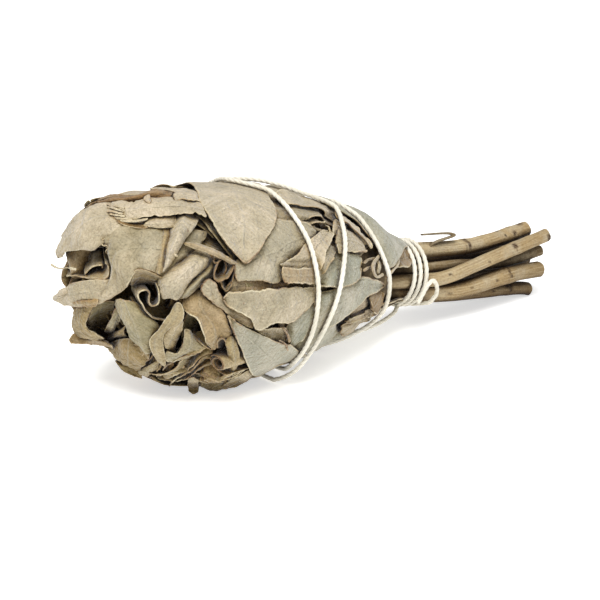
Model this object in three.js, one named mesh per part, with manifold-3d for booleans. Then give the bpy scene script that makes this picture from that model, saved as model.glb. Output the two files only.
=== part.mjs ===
import * as THREE from 'three';
import Module from 'manifold-3d';

// A dried white sage bundle lying on its side. Millimetres, +Z up, the leafy head towards -X.
// Along the bundle: s from the tie (s = 0) towards the tip of the head, negative along the stems.
// Round the bundle: phi in degrees, 0 at the top, 90 on the -Y side, 180 underneath.

// ---- driving dimensions ----
const TILT = 8.2;            // the axis rises towards the head, degrees
const TIE = [55, 0, 15.06];  // centre of the tie
const R_TIE = 8.6;           // leaf envelope where the head starts
const R_HEAD = 22.8;         // leaf envelope at its fullest
const S_FULL = 63;           // where it is fullest
const S_TIP = 88;            // the end of the head
const SWELL = 1.1;           // how early the head widens
const DOME = 2.3;            // how blunt the end is
const LIFT = 2.8;            // extra height along the upper flank
const LEAN = 9;              // the end of the head is cut on a slant
const LEAN_AT = -55;
const BLADE = 0.7;           // leaf thickness
const STEM_CIRCLE = 7.35;    // all stems pass through this circle at the tie
const STRING_R = 0.55;
const RING_R = STEM_CIRCLE + 0.3 + STRING_R;
const GAP = 0.32;            // clear air left between separate pieces
const SEED = 7;

const rad = (deg) => deg * Math.PI / 180;
const clamp = (x, a, b) => Math.min(b, Math.max(a, x));
const mix = (a, b, t) => a + (b - a) * t;
const smooth = (x, a, b) => {
  const t = clamp((x - a) / (b - a), 0, 1);
  return t * t * (3 - 2 * t);
};
const draw = (k, n) => {
  const x = Math.sin((SEED + k) * 12.9898 + n * 78.233) * 43758.5453;
  return x - Math.floor(x);
};

// ---- the envelope of the head ----
const TABLE = [];
for (let i = 0; i <= 126; i++) {
  const s = S_FULL * i / 126;
  const r = R_TIE + (R_HEAD - R_TIE) * Math.sin(Math.PI / 2 * (s / S_FULL) ** SWELL);
  TABLE.push({ s, r });
}
for (let i = 1; i <= 90; i++) {
  const a = rad(i);
  TABLE.push({
    s: S_FULL + (S_TIP - S_FULL) * Math.sin(a) ** (2 / DOME),
    r: R_HEAD * Math.max(0, Math.cos(a)) ** (2 / DOME),
  });
}
TABLE.forEach((row, i) => {
  const last = TABLE[i - 1];
  row.q = last ? last.q + Math.hypot(row.s - last.s, row.r - last.r) : 0;
});
const Q_TIP = TABLE[TABLE.length - 1].q;
TABLE.forEach((row, i) => {
  const a = TABLE[Math.max(0, i - 1)];
  const b = TABLE[Math.min(TABLE.length - 1, i + 1)];
  row.ns = -(b.r - a.r) / (b.q - a.q);
  row.nr = (b.s - a.s) / (b.q - a.q);
  row.angle = Math.atan2(Math.max(0, row.s - S_FULL), row.r);
});

const lookUp = (key, x) => {
  let a = 0;
  let b = TABLE.length - 1;
  while (b - a > 1) {
    const m = (a + b) >> 1;
    if (TABLE[m][key] <= x) {
      a = m;
    } else {
      b = m;
    }
  }
  const t = clamp((x - TABLE[a][key]) / (TABLE[b][key] - TABLE[a][key] || 1), 0, 1);
  const row = {};
  for (const k of ['s', 'r', 'q', 'ns', 'nr']) {
    row[k] = mix(TABLE[a][k], TABLE[b][k], t);
  }
  return row;
};

// bundle coordinates (along s, across x towards -Y, up y) to the part's frame
const place = ([s, x, y]) => {
  const c = Math.cos(rad(TILT));
  const d = Math.sin(rad(TILT));
  return [TIE[0] - s * c + y * d, TIE[1] - x, TIE[2] + s * d + y * c];
};

// a point on the envelope, h above it; q runs along the surface from the tie
const onHead = (q, phi, h = 0) => {
  const row = lookUp('q', q);
  const f = rad(phi);
  const swell = smooth(row.s, 4, 24) * (1 - smooth(row.s, 38, 68)) * (1 + Math.cos(f)) / 2;
  const r = row.r + LIFT * swell + h * row.nr;
  const s = row.s + Math.min(0, q) + h * row.ns;
  return [s, r * Math.sin(f), r * Math.cos(f)];
};

// the nearest (q, phi) under a point
const under = ([s, x, y]) => {
  const phi = Math.atan2(x, y) * 180 / Math.PI;
  if (s <= S_FULL) {
    return [lookUp('s', s).q, phi];
  }
  return [lookUp('angle', Math.atan2(s - S_FULL, Math.hypot(x, y))).q, phi];
};

// the slanted end of the head
const slant = ([s, x, y]) => {
  const side = (y * Math.cos(rad(LEAN_AT)) + x * Math.sin(rad(LEAN_AT))) / 22;
  return [s + LEAN * smooth(s, 34, 79) * side, x, y];
};

const sub = (a, b) => [a[0] - b[0], a[1] - b[1], a[2] - b[2]];
const addTo = (a, b, k = 1) => [a[0] + b[0] * k, a[1] + b[1] * k, a[2] + b[2] * k];
const cross = (a, b) => [
  a[1] * b[2] - a[2] * b[1],
  a[2] * b[0] - a[0] * b[2],
  a[0] * b[1] - a[1] * b[0],
];
const unit = (a) => {
  const n = Math.hypot(...a) || 1;
  return [a[0] / n, a[1] / n, a[2] / n];
};
const spline = (points, u) => {
  const n = points.length - 1;
  const i = Math.min(n - 1, Math.floor(u * n));
  const t = u * n - i;
  const p = [i - 1, i, i + 1, i + 2].map((k) => points[clamp(k, 0, n)]);
  return p[1].map((_, k) => 0.5 * (2 * p[1][k] + (p[2][k] - p[0][k]) * t
    + (2 * p[0][k] - 5 * p[1][k] + 4 * p[2][k] - p[3][k]) * t * t
    + (3 * p[1][k] - p[0][k] - 3 * p[2][k] + p[3][k]) * t * t * t));
};

// ---- solids ----
const wasm = await Module();
wasm.setup();
const sixVolume = (points, tris) => tris.reduce((sum, [a, b, c]) => {
  const n = cross(points[b], points[c]);
  return sum + points[a][0] * n[0] + points[a][1] * n[1] + points[a][2] * n[2];
}, 0);
const outward = ({ points, tris }) => ({
  points,
  tris: sixVolume(points, tris) > 0 ? tris : tris.map(([a, b, c]) => [a, c, b]),
});
const solid = (shape) => {
  const { points, tris } = outward(shape);
  return new wasm.Manifold(new wasm.Mesh({
    numProp: 3,
    vertProperties: new Float32Array(points.flat()),
    triVerts: new Uint32Array(tris.flat()),
  }));
};

// a thick sheet from a grid of points (rows along u, columns along v)
const sheet = (grid, thick = BLADE) => {
  const nu = grid.length;
  const nv = grid[0].length;
  const top = [];
  const low = [];
  for (let i = 0; i < nu; i++) {
    for (let j = 0; j < nv; j++) {
      const du = sub(grid[Math.min(nu - 1, i + 1)][j], grid[Math.max(0, i - 1)][j]);
      const dv = sub(grid[i][Math.min(nv - 1, j + 1)], grid[i][Math.max(0, j - 1)]);
      const n = unit(cross(du, dv));
      top.push(addTo(grid[i][j], n, thick / 2));
      low.push(addTo(grid[i][j], n, -thick / 2));
    }
  }
  const half = nu * nv;
  const at = (i, j) => i * nv + j;
  const tris = [];
  const quad = (a, b, c, d) => tris.push([a, b, c], [a, c, d]);
  for (let i = 0; i < nu - 1; i++) {
    for (let j = 0; j < nv - 1; j++) {
      const [a, b, c, d] = [at(i, j), at(i + 1, j), at(i + 1, j + 1), at(i, j + 1)];
      quad(a, b, c, d);
      tris.push([half + a, half + c, half + b], [half + a, half + d, half + c]);
    }
  }
  for (let i = 0; i < nu - 1; i++) {
    quad(at(i, 0), half + at(i, 0), half + at(i + 1, 0), at(i + 1, 0));
    quad(at(i + 1, nv - 1), half + at(i + 1, nv - 1), half + at(i, nv - 1), at(i, nv - 1));
  }
  for (let j = 0; j < nv - 1; j++) {
    quad(at(0, j + 1), half + at(0, j + 1), half + at(0, j), at(0, j));
    quad(at(nu - 1, j), half + at(nu - 1, j), half + at(nu - 1, j + 1), at(nu - 1, j + 1));
  }
  return solid({ points: [...top, ...low], tris });
};

// a closed round body along a list of rings
const loft = (rings) => {
  const n = rings[0].length;
  const points = rings.flat();
  const mid = (ring) => ring.reduce((a, b) => addTo(a, b, 1 / n), [0, 0, 0]);
  const first = points.push(mid(rings[0])) - 1;
  const last = points.push(mid(rings[rings.length - 1])) - 1;
  const tris = [];
  for (let j = 0; j < n; j++) {
    const k = (j + 1) % n;
    for (let i = 0; i < rings.length - 1; i++) {
      const [a, b] = [i * n + j, i * n + k];
      tris.push([a, b, b + n], [a, b + n, a + n]);
    }
    const end = (rings.length - 1) * n;
    tris.push([first, k, j], [last, end + j, end + k]);
  }
  return outward({ points, tris });
};

// rings of a tube round a path, without twist
const tube = (path, radius, sides) => {
  const tangent = (i) => unit(sub(path[Math.min(path.length - 1, i + 1)], path[Math.max(0, i - 1)]));
  let side = unit(cross(tangent(0), [0.31, 0.27, 0.91]));
  return path.map((p, i) => {
    const t = tangent(i);
    side = unit(cross(cross(t, side), t));
    const up = cross(t, side);
    const r = typeof radius === 'function' ? radius(i / (path.length - 1)) : radius;
    return Array.from({ length: sides }, (_, k) => {
      const a = k / sides * 2 * Math.PI;
      return addTo(addTo(p, side, r * Math.cos(a)), up, r * Math.sin(a));
    });
  });
};

// ---- string ----
// route over the head as [q, phi, height of its middle above the envelope]
const ROUTE = [
  [15, 160, 0.9], [18, 176, 0.6], [20, -160, 0.6], [20.5, -130, 0.6], [20, -95, 0.6],
  [20.5, -60, 0.6], [22.5, -25, 0.6], [24, 0, 0.6], [22.5, 14, 0.6], [20.5, 24, 0.6],
  [19, 45, 0.6], [16.5, 65, 0.6], [14.5, 82, 0.6], [13.5, 106, 0.6], [14, 126, 0.6],
  [17.5, 146, 0.6], [23, 164, 0.6], [28, -178, 0.6], [33, -150, 0.6], [37, -120, 0.6],
  [42, -90, 0.6], [45, -62, 0.6], [48.5, -40, 0.6], [50.2, -28, 0.6], [51.6, -18, 0.6],
  [53, -6, 0.6], [52.3, 4, 0.6], [50.3, 11, 0.6], [49, 18, 0.6], [48.5, 33, 0.6],
  [47.5, 51, 0.6], [47, 67, 0.6], [46.5, 83, 0.6], [46, 102, 0.6], [45.5, 121, 0.6],
  [44, 142, 0.6], [41, 158, 0.6], [39, 176, 0.6], [39.5, -162, 0.6], [42, -135, 0.6],
  [47, -105, 0.6], [48.3, -80, 0.6], [49, -64, 0.8], [49, -54, 1.5], [48.8, -44, 2.2],
  [48.5, -35, 2.1], [47.8, -26, 1.3], [47, -17, 0.7], [45.4, -6, 0.6], [42.6, 5, 0.6], [39.5, 13, 0.7],
  [34.5, 15, 0.7], [31, 17, 0.7], [29.6, 22, 0.7], [31, 34, 0.6], [33.5, 52, 0.6],
  [36.5, 71, 0.6], [38.5, 88, 0.6], [40.5, 106, 0.6], [42.5, 124, 1.2], [44.5, 138, 2.2],
  [46.5, 152, 2.1], [46, 170, 1.2], [45, -172, 1.4], [43.5, -158, 2.2], [40.5, -142, 2.2],
  [37, -126, 2.2], [32, -115, 1.8], [26, -106, 1.6], [20, -98, 2.2], [14, -92, 1.4],
  [8, -88, 0.8], [5, -86, 0.7],
];
// tail, knot and bow loop in front of the tie, in bundle coordinates
const BOW = [
  [-0.7, 9.9, -5.4], [-1.6, 10.1, -3.3], [-2.4, 10.5, -1.1], [-3.5, 10.7, 0.3], [-4.7, 10.6, 0.2],
  [-6.1, 10.3, -1.2], [-6.9, 9.8, -3.2], [-6.7, 9, -4.8], [-6.4, 7.6, -6.2],
];
const TURNS = 3;
const PER_TURN = 14;
const RING_FROM = -5.8;
const RING_PITCH = 2;
const RING_AT = 150;
const SLACK = [[2.6, 150, 10.4], [8, 154, 12.6]];   // the free length between tie and head
const LAST = [2.2, -80, 9.5];                       // the end tucked in behind the rings

const ringPoint = (s, phi, r) => place([s, r * Math.sin(rad(phi)), r * Math.cos(rad(phi))]);
const stringPath = () => {
  const points = [];
  const pass = (list, per) => {
    const steps = (list.length - 1) * per;
    for (let i = 0; i <= steps; i++) {
      points.push(spline(list, i / steps));
    }
  };
  pass(BOW.map(place), 2);
  for (let i = 1; i <= TURNS * PER_TURN; i++) {
    const a = i / PER_TURN;
    points.push(ringPoint(RING_FROM + a * RING_PITCH, RING_AT + a * 360, RING_R));
  }
  points.push(...SLACK.map((at) => ringPoint(...at)));
  pass(ROUTE.map(([q, phi, h]) => place(slant(onHead(q, phi, h)))), 2);
  points.push(ringPoint(...LAST));
  return points.map(([x, y, z]) => [x, y, Math.max(z, STRING_R + 0.1)]);
};

// leaves lie pressed down beside the string
const LINE = ROUTE.slice(0, -1).flatMap((p, i) => [0, 0.25, 0.5, 0.75].map((t) => {
  const q = ROUTE[i + 1];
  const turn = ((q[1] - p[1] + 540) % 360) - 180;
  return [mix(p[0], q[0], t), p[1] + turn * t, mix(p[2], q[2], t)];
}));
const press = (q, phi, h) => {
  const { r } = lookUp('q', q);
  let top = h;
  for (const [q1, phi1, h1] of LINE) {
    const turn = ((phi1 - phi + 900) % 360) - 180;
    const d = Math.hypot(q1 - q, r * rad(turn));
    top = Math.min(top, h1 - 0.9 + 0.6 * Math.max(0, d - 0.6));
  }
  return top;
};

// ---- leaves that wrap the head ----
// midrib points [q, phi], half width, height above the envelope at base and tip, edge lift and
// bluntness
const WRAPS = [
  {
    rib: [[44, -34], [54, 4], [63, 36], [69, 62]],
    wide: 8.6, base: -0.4, tip: 0.3, edge: 0.2, blunt: 0.45,
  },
  {
    rib: [[34, 134], [50, 123], [65, 113], [75, 104]],
    wide: 9.8, base: -0.9, tip: 0.2, edge: 0.3, blunt: 0.4,
  },
  {
    rib: [[38, 84], [56, 87], [70, 86], [77.5, 80]],
    wide: 4.8, base: -0.3, tip: 0.4, edge: 0.2, blunt: 0.6,
  },
  {
    rib: [[30, 44], [47, 54], [63, 64], [74, 71]],
    wide: 6.2, base: -1.5, tip: -0.6, edge: 0.1, blunt: 0.55,
  },
  {
    rib: [[40, 66], [50, 69], [59.5, 69]],
    wide: 3.4, base: -0.2, tip: 0.5, edge: 0.5, blunt: 0.3,
  },
  {
    rib: [[18, 58], [34, 64], [46, 69]],
    wide: 4.4, base: -0.8, tip: -0.2, edge: 0.4, blunt: 0.45,
  },
  {
    rib: [[10, 74], [26, 87], [42, 102], [56, 119]],
    wide: 5, base: -1, tip: -0.3, edge: 0.3, blunt: 0.6,
  },
  {
    rib: [[2, 14], [9, 20], [18, 24], [27, 28]],
    wide: 6.5, base: 0.3, tip: -0.4, edge: -0.6, blunt: 0.5, hump: 3,
  },
  {
    rib: [[56, -8], [72, -16], [83, -30], [88, -62]],
    wide: 11, base: -0.6, tip: 0.4, edge: 0.2, blunt: 0.45,
  },
  {
    rib: [[58, 24], [69, 14], [79, 1], [79, -27]],
    wide: 5.6, base: 0.2, tip: 0.9, edge: 0.3, blunt: 0.55,
  },
  {
    rib: [[76, 26], [86, 33], [94, 42], [99, 80]],
    wide: 9.5, base: -1.2, tip: -0.8, edge: -0.2, blunt: 0.4,
  },
  {
    rib: [[86, 66], [95, 62], [101, -150], [88, -108]],
    wide: 3.4, base: -0.4, tip: 2, edge: 0, blunt: 0.7,
  },
  {
    rib: [[99.5, 84], [95, 108], [89, 130]],
    wide: 4.6, base: -0.5, tip: 0.6, edge: 0.4, blunt: 0.35,
  },
  {
    rib: [[72, 68], [78, 86], [82, 106], [80, 120]],
    wide: 4.6, base: -1, tip: 0.4, edge: 0.5, blunt: 0.5,
  },
  {
    rib: [[68, 22], [77, 33], [87, 59]],
    wide: 3.6, base: 0.2, tip: 0.8, edge: 0.5, blunt: 0.6,
  },
  {
    rib: [[81, 44], [76, 54], [70, 66]],
    wide: 0.8, base: -1, tip: -0.6, edge: 0, blunt: 0.1, hump: 2.2,
  },
];

const HEROES = WRAPS.length;

// seeded leaves below and behind the others
const FILL_ROWS = 2;
const FILL_EACH = 7;
for (let k = 0; k < FILL_ROWS * FILL_EACH; k++) {
  const row = Math.floor(k / FILL_EACH);
  const phi = 138 + 36 * (k % FILL_EACH) + row * 17 + 12 * (draw(k, 1) - 0.5);
  const tip = [86, 62][row] + 8 * (draw(k, 2) - 0.5);
  const long = [46, 48][row];
  const turn = 26 * (draw(k, 3) - 0.5);
  const far = smooth(Math.cos(rad(phi - 250)), -0.2, 0.5);
  WRAPS.push({
    rib: [[tip - long, phi - turn], [tip - long / 2, phi], [tip, phi + turn]],
    wide: 7 + 2.5 * draw(k, 4),
    base: -2.6 + 0.8 * row + far,
    tip: -1.6 + 0.6 * row + far + 1.4 * draw(k, 5),
    edge: 0.8 * draw(k, 6),
    blunt: 0.55,
  });
}

// narrow leaf feet that run in under the tie
const FEET = 7;
for (let k = 0; k < FEET; k++) {
  const phi = 360 / FEET * (k + 0.6 * draw(k, 21));
  WRAPS.push({
    rib: [[1.4, phi], [10, phi + 8 * (draw(k, 22) - 0.5)], [24 + 8 * draw(k, 23), phi]],
    wide: 2.6 + 1.6 * draw(k, 24),
    base: -0.1,
    tip: -1.4,
    edge: 0.3,
    blunt: 0.4,
  });
}

const wrap = (leaf, nu, nv) => {
  const rib = leaf.rib.map(([q, phi]) => onHead(q, phi));
  const grid = [];
  for (let i = 0; i < nu; i++) {
    const u = i / (nu - 1);
    const p = spline(rib, u);
    const along = sub(spline(rib, Math.min(1, u + 0.02)), spline(rib, Math.max(0, u - 0.02)));
    const [q0, phi0] = under(p);
    const out = sub(onHead(q0, phi0, 1), onHead(q0, phi0));
    const side = unit(cross(along, out));
    const w = leaf.wide * Math.sin(Math.PI * (0.1 + 0.86 * u) ** 0.9) ** leaf.blunt;
    const row = [];
    for (let j = 0; j < nv; j++) {
      const v = j / (nv - 1) * 2 - 1;
      const [q, phi] = under(addTo(p, side, v * w));
      const h = mix(leaf.base, leaf.tip, u) + leaf.edge * v * v + (leaf.hump || 0) * Math.sin(Math.PI * u);
      row.push(place(slant(onHead(q, phi, press(q, phi, h) - BLADE / 2))));
    }
    grid.push(row);
  }
  return grid;
};

// ---- curled leaves in the end of the head ----
// end: middle of the open end [q, phi, h]; from: inner end, else towards the axis; wide: unrolled
// width; head: direction of the roll at its middle; turn: degrees from edge to edge;
// bend: how much it tightens towards one edge; slim: size of the inner end
const ROLLS = [
  { end: [92, 89, 0.6], long: 22, wide: 19, head: -10, turn: -430, bend: 0.75, slim: 0.8 },
  { end: [91.5, -168, 0.6], long: 24, wide: 21, head: 150, turn: -210, bend: 0, slim: 0.8 },
  { end: [97, 0, -0.6], long: 22, wide: 16, head: -60, turn: -330, bend: 0.4, slim: 0.8 },
  { end: [76, 128, 0.5], long: 18, wide: 13, head: 90, turn: -440, bend: 0.3, slim: 0.9 },
  { end: [76, 110, 0.6], long: 16, wide: 12, head: 50, turn: -230, bend: 0.3, slim: 0.8 },
  { end: [87.5, 130, 1], from: [82, 84, -1], wide: 13, head: 175, turn: 290, bend: 0.2, slim: 0.3 },
  { end: [86, 77, 1.3], from: [69, 50, -1.6], wide: 13, head: 180, turn: 310, bend: 0.2, slim: 0.7 },
  { end: [83, 156, -0.4], long: 24, wide: 18, head: -156, turn: -110, bend: 0, slim: 0.9 },
  { end: [79, 143, -1.6], long: 22, wide: 16, head: -143, turn: -90, bend: 0.2, slim: 0.9 },
  { end: [93, 125, -0.5], long: 20, wide: 16, head: -100, turn: -160, bend: 0.2, slim: 0.8 },
];
const CURLS = 4;
for (let k = 0; k < CURLS; k++) {
  const phi = -150 + 70 * k + 24 * draw(k, 11);
  ROLLS.push({
    end: [87 + 8 * draw(k, 12), phi, -1 - draw(k, 13)],
    long: 22,
    wide: 14 + 5 * draw(k, 14),
    head: -phi + 50 * (draw(k, 15) - 0.5),
    turn: -140 - 110 * draw(k, 16),
    bend: 0.6 * draw(k, 17),
    slim: 0.8,
  });
}

const roll = (leaf, nu, nv) => {
  const end = onHead(...leaf.end);
  const start = leaf.from
    ? onHead(...leaf.from)
    : [end[0] - leaf.long, end[1] * leaf.slim, end[2] * leaf.slim];
  const along = unit(sub(end, start));
  const out = leaf.from ? unit(sub(onHead(leaf.end[0], leaf.end[1], leaf.end[2] + 1), end)) : [0, 0, 1];
  const across = unit(cross(out, along));
  const up = cross(along, across);
  const step = leaf.wide / (nv - 1);
  const curve = [[0, 0]];
  for (let j = 1; j < nv; j++) {
    const even = (j - 0.5) / (nv - 1) - 0.5;
    const a = rad(leaf.head + leaf.turn * (even + leaf.bend * (even * even - 0.25)));
    curve.push([curve[j - 1][0] + step * Math.cos(a), curve[j - 1][1] + step * Math.sin(a)]);
  }
  const mid = curve.reduce((a, b) => [a[0] + b[0] / nv, a[1] + b[1] / nv], [0, 0]);
  return Array.from({ length: nu }, (_, i) => {
    const u = i / (nu - 1);
    const size = mix(leaf.slim, 1, u);
    const reach = Math.hypot(...sub(end, start));
    return curve.map(([x, y], j) => {
      const v = j / (nv - 1) * 2 - 1;
      const p = addTo(start, along, reach * u - 2 * v * v * u);
      return place(slant(addTo(addTo(p, across, (x - mid[0]) * size), up, (y - mid[1]) * size)));
    });
  });
};

// ---- stems ----
// radius and the middle line as [s, x, y], from the cut end into the head; one keeps a dry leaf stalk
const STEMS = [
  {
    r: 2.1,
    line: [[-47.5, -0.6, 9.3], [-27, -0.2, 5.7], [-3, -0.5, 5.15], [26, -0.4, 4.9]],
    stalk: [
      [-11, 0.6, 6.2], [-13, 1.1, 7.7], [-17.6, 1.1, 8.7], [-19.2, 1, 9.2], [-16.4, 0.8, 9.7],
      [-8, 0.6, 9.6],
    ],
  },
  {
    r: 1.8,
    line: [
      [-50.5, 4.2, 8.7], [-40, 4.4, 5.9], [-27, 5.1, 2.8], [-13, 6, -0.4], [-3, 5.55, -0.9],
      [24, 5.2, -0.6],
    ],
  },
  {
    r: 1.5,
    line: [[-52, 1.5, 3.8], [-37, 1.3, 1], [-20, 1.4, 1.3], [-3, 1.8, 0.8], [25, 1.6, 0.8]],
  },
  {
    r: 1.4,
    line: [[-51, -1.5, 1.1], [-30, -1.8, -2], [-3, -1.6, -1.8], [25, -1.5, -1.7]],
  },
  {
    r: 2.1,
    line: [[-49.5, 4.4, -0.5], [-37, 5.2, -1.3], [-18, 5.3, -4.3], [-3, 3.3, -4.3], [25, 2.9, -4.1]],
  },
  {
    r: 1.7,
    line: [
      [-49, 2.2, -6.45], [-43, 1.8, -6.1], [-16, 0.6, -6.8], [-3, -0.6, -5.5],
      [25, -0.9, -5.3],
    ],
  },
  {
    r: 1.5,
    line: [[-46, -5.4, 2.6], [-25, -5.6, 1.6], [-3, -5.75, 0], [25, -5.3, 0.1]],
  },
  {
    r: 1.6,
    line: [[-44.5, -5.2, -3.8], [-20, -4.8, -4.1], [-3, -4.1, -4], [25, -4.1, -3.7]],
  },
];

const group = new THREE.Group();
group.name = 'sage_bunch';
const look = (color, name) => new THREE.MeshStandardMaterial({
  color, roughness: 0.9, side: THREE.DoubleSide, name,
});
const LEAF = look(0xb9b197, 'dried_leaf');
const WOOD = look(0xa98f68, 'dried_stem');
const COTTON = look(0xefece2, 'cotton_string');
const addMesh = (name, points, tris, material) => {
  const geometry = new THREE.BufferGeometry();
  geometry.setAttribute('position', new THREE.BufferAttribute(new Float32Array(points.flat()), 3));
  geometry.setIndex(tris.flat());
  geometry.computeVertexNormals();
  const mesh = new THREE.Mesh(geometry, material);
  mesh.name = name;
  group.add(mesh);
};

// the largest closed shell of a solid: drops loose scraps and fills sealed hollows
const mainShell = (body) => {
  const mesh = body.getMesh();
  const { vertProperties: v, triVerts: t } = mesh;
  const owner = Array.from({ length: v.length / 3 }, (_, i) => i);
  const root = (i) => {
    while (owner[i] !== i) {
      owner[i] = owner[owner[i]];
      i = owner[i];
    }
    return i;
  };
  for (let i = 0; i < t.length; i += 3) {
    owner[root(t[i])] = root(t[i + 1]);
    owner[root(t[i + 2])] = root(t[i + 1]);
  }
  const at = (i) => [v[3 * i], v[3 * i + 1], v[3 * i + 2]];
  const volume = new Map();
  for (let i = 0; i < t.length; i += 3) {
    const [a, b, c] = [at(t[i]), at(t[i + 1]), at(t[i + 2])];
    const n = cross(b, c);
    const key = root(t[i]);
    volume.set(key, (volume.get(key) || 0) + (a[0] * n[0] + a[1] * n[1] + a[2] * n[2]) / 6);
  }
  const best = [...volume].sort((a, b) => b[1] - a[1])[0][0];
  const index = new Map();
  const points = [];
  const tris = [];
  for (let i = 0; i < t.length; i += 3) {
    if (root(t[i]) === best) {
      tris.push([t[i], t[i + 1], t[i + 2]].map((k) => {
        if (!index.has(k)) {
          index.set(k, points.push(at(k)) - 1);
        }
        return index.get(k);
      }));
    }
  }
  return { points, tris };
};

// packed middle of the head: [q, depth under the envelope]
const CORE = [[9, 1.4], [16, 2.6], [32, 3.8], [50, 4.6], [64, 5.4], [76, 7.5], [90, 8.5]];
const CORE_SIDES = 16;
const coreRings = CORE.map(([q, depth]) => Array.from({ length: CORE_SIDES }, (_, k) => (
  place(slant(onHead(q, k / CORE_SIDES * 360, -depth)))
)));
const core = loft(coreRings);
let leaves = solid(core);
const HERO_GRID = [6, 4];
const FILL_GRID = [5, 3];
const ROLL_GRID = [2, 7];
WRAPS.forEach((leaf, i) => {
  leaves = leaves.add(sheet(wrap(leaf, ...(i < HEROES ? HERO_GRID : FILL_GRID))));
});
ROLLS.forEach((leaf) => {
  leaves = leaves.add(sheet(roll(leaf, ...ROLL_GRID)));
});

// room for the stems and the string, and a flat underside to lie on
const SOCKET = [[-20, STEM_CIRCLE + GAP], [27.5, STEM_CIRCLE + GAP - 0.3]];   // [s, radius]
const SOCKET_SIDES = 24;
const socket = loft(SOCKET.map(([s, r]) => Array.from({ length: SOCKET_SIDES }, (_, k) => (
  ringPoint(s, k / SOCKET_SIDES * 360, r)
))));
leaves = leaves.subtract(solid(socket));
const path = stringPath();
const groove = loft(tube(path, (STRING_R + GAP) / Math.cos(Math.PI / 5), 5));
leaves = leaves.subtract(solid(groove));
const FLOOR_CUT = [60, 40, 9];   // half length, half width and depth of the block under the bunch
const [reach, side, deep] = FLOOR_CUT;
const below = loft([-deep, 0].map((z) => (
  [[-reach, -side, z], [reach, -side, z], [reach, side, z], [-reach, side, z]]
)));
leaves = leaves.subtract(solid(below));
const bunch = mainShell(leaves);
addMesh('leaves', bunch.points, bunch.tris, LEAF);

const rod = (line, r, sides) => {
  const steps = (line.length - 1) * 3;
  const at = line.map(place);
  return loft(tube(Array.from({ length: steps + 1 }, (_, k) => spline(at, k / steps)), r, sides));
};
STEMS.forEach(({ r, line, stalk }, i) => {
  let shape = rod(line, r, 8);
  if (stalk) shape = mainShell(solid(shape).add(solid(rod(stalk, 0.45, 6))));
  addMesh(`stem_${i + 1}`, shape.points, shape.tris, WOOD);
});

const cord = loft(tube(path, STRING_R, 6));
addMesh('string', cord.points, cord.tris, COTTON);

export default group;
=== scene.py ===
"""A dried white sage bundle, wound and tied with cotton string, lying on its side.

Shapes are worked out in millimetres in bundle coordinates and made in metres:
  s   along the bundle from the tie: positive into the leafy head, negative along the stems
  x   towards the near side, y upwards, both square to the bundle
  q   along the skin of the head from the tie, phi degrees round it (0 top, 90 near side)
  h   height above that skin
"""
import math

import bpy
import numpy as np
from mathutils import Matrix


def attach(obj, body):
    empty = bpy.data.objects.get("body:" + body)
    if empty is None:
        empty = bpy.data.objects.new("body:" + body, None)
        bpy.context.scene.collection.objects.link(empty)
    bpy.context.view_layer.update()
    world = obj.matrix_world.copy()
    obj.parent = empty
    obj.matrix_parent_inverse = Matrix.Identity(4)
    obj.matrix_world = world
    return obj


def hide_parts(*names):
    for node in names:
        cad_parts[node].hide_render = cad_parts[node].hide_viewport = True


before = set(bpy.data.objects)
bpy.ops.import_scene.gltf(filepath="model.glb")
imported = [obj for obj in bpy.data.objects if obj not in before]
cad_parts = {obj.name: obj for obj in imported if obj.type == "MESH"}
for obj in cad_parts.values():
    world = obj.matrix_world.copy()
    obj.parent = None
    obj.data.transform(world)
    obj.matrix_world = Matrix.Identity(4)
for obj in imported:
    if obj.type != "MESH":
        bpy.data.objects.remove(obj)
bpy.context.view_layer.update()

MM = 0.001

# ---- driving dimensions, the same as the solids' ----
TILT = 8.2                # degrees that the middle of the bundle rises towards the head
TIE = (55, 0, 15.06)      # the middle of the tie in the frame
R_TIE = 8.6               # radius of the head where it leaves the tie
R_HEAD = 22.8             # and where it is fullest
S_FULL = 63
S_TIP = 88
SWELL = 1.1               # how soon the cone of the head widens
DOME = 2.3                # how blunt its end is
LIFT = 2.8                # how much its top stands up
LIFT_STARTS = (4, 24)     # the stretch of s over which the top comes up
LIFT_ENDS = (38, 68)      # and the one over which it goes down
LEAN = 9                  # how much further one side of the end reaches
LEAN_AT = -55             # which side that is, in degrees from the top
LEAN_OVER = (34, 79)      # the slant comes in over this stretch of s
LEAN_R = 22               # and is full at this radius
STEM_CIRCLE = 7.35        # radius round all stems at the tie
STRING_R = 0.55
RING_R = STEM_CIRCLE + 0.3 + STRING_R   # middle of the string's turns round them
SEED = 7

LEAF_THICK = 0.42     # a dried leaf with its felt
LEAF_AIR = 0.1        # between two leaves that lie on each other
RIM_THINNER = 0.22    # share of its thickness that a blade loses on each side at its rim
RIM_THIN_OVER = 0.5   # how far in from the rim it is thinner
RIM_WORN_OVER = 0.45  # how far in it is worn pale or brown
FLOOR_GAP = 0.25      # the middle of a leaf stays this far above the floor
FLAT_MM = 10          # one unit of a piece's flat map


def draw(k, n):
    """The same random number between 0 and 1 for the same k and n."""
    x = math.sin((SEED + k) * 12.9898 + n * 78.233) * 43758.5453
    return x - math.floor(x)


def smooth(x, a, b):
    """From 0 at a to 1 at b, with a soft start and end."""
    t = np.clip((x - a) / (b - a), 0, 1)
    return t * t * (3 - 2 * t)


def mix(a, b, t):
    return a + (b - a) * t


def unit(v):
    return v / np.maximum(np.linalg.norm(v, axis=-1, keepdims=True), 1e-9)


def gone_along(line):
    """How far along a line each of its points is."""
    return np.append(0, np.cumsum(np.linalg.norm(np.diff(line, axis=0), axis=1)))


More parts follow.
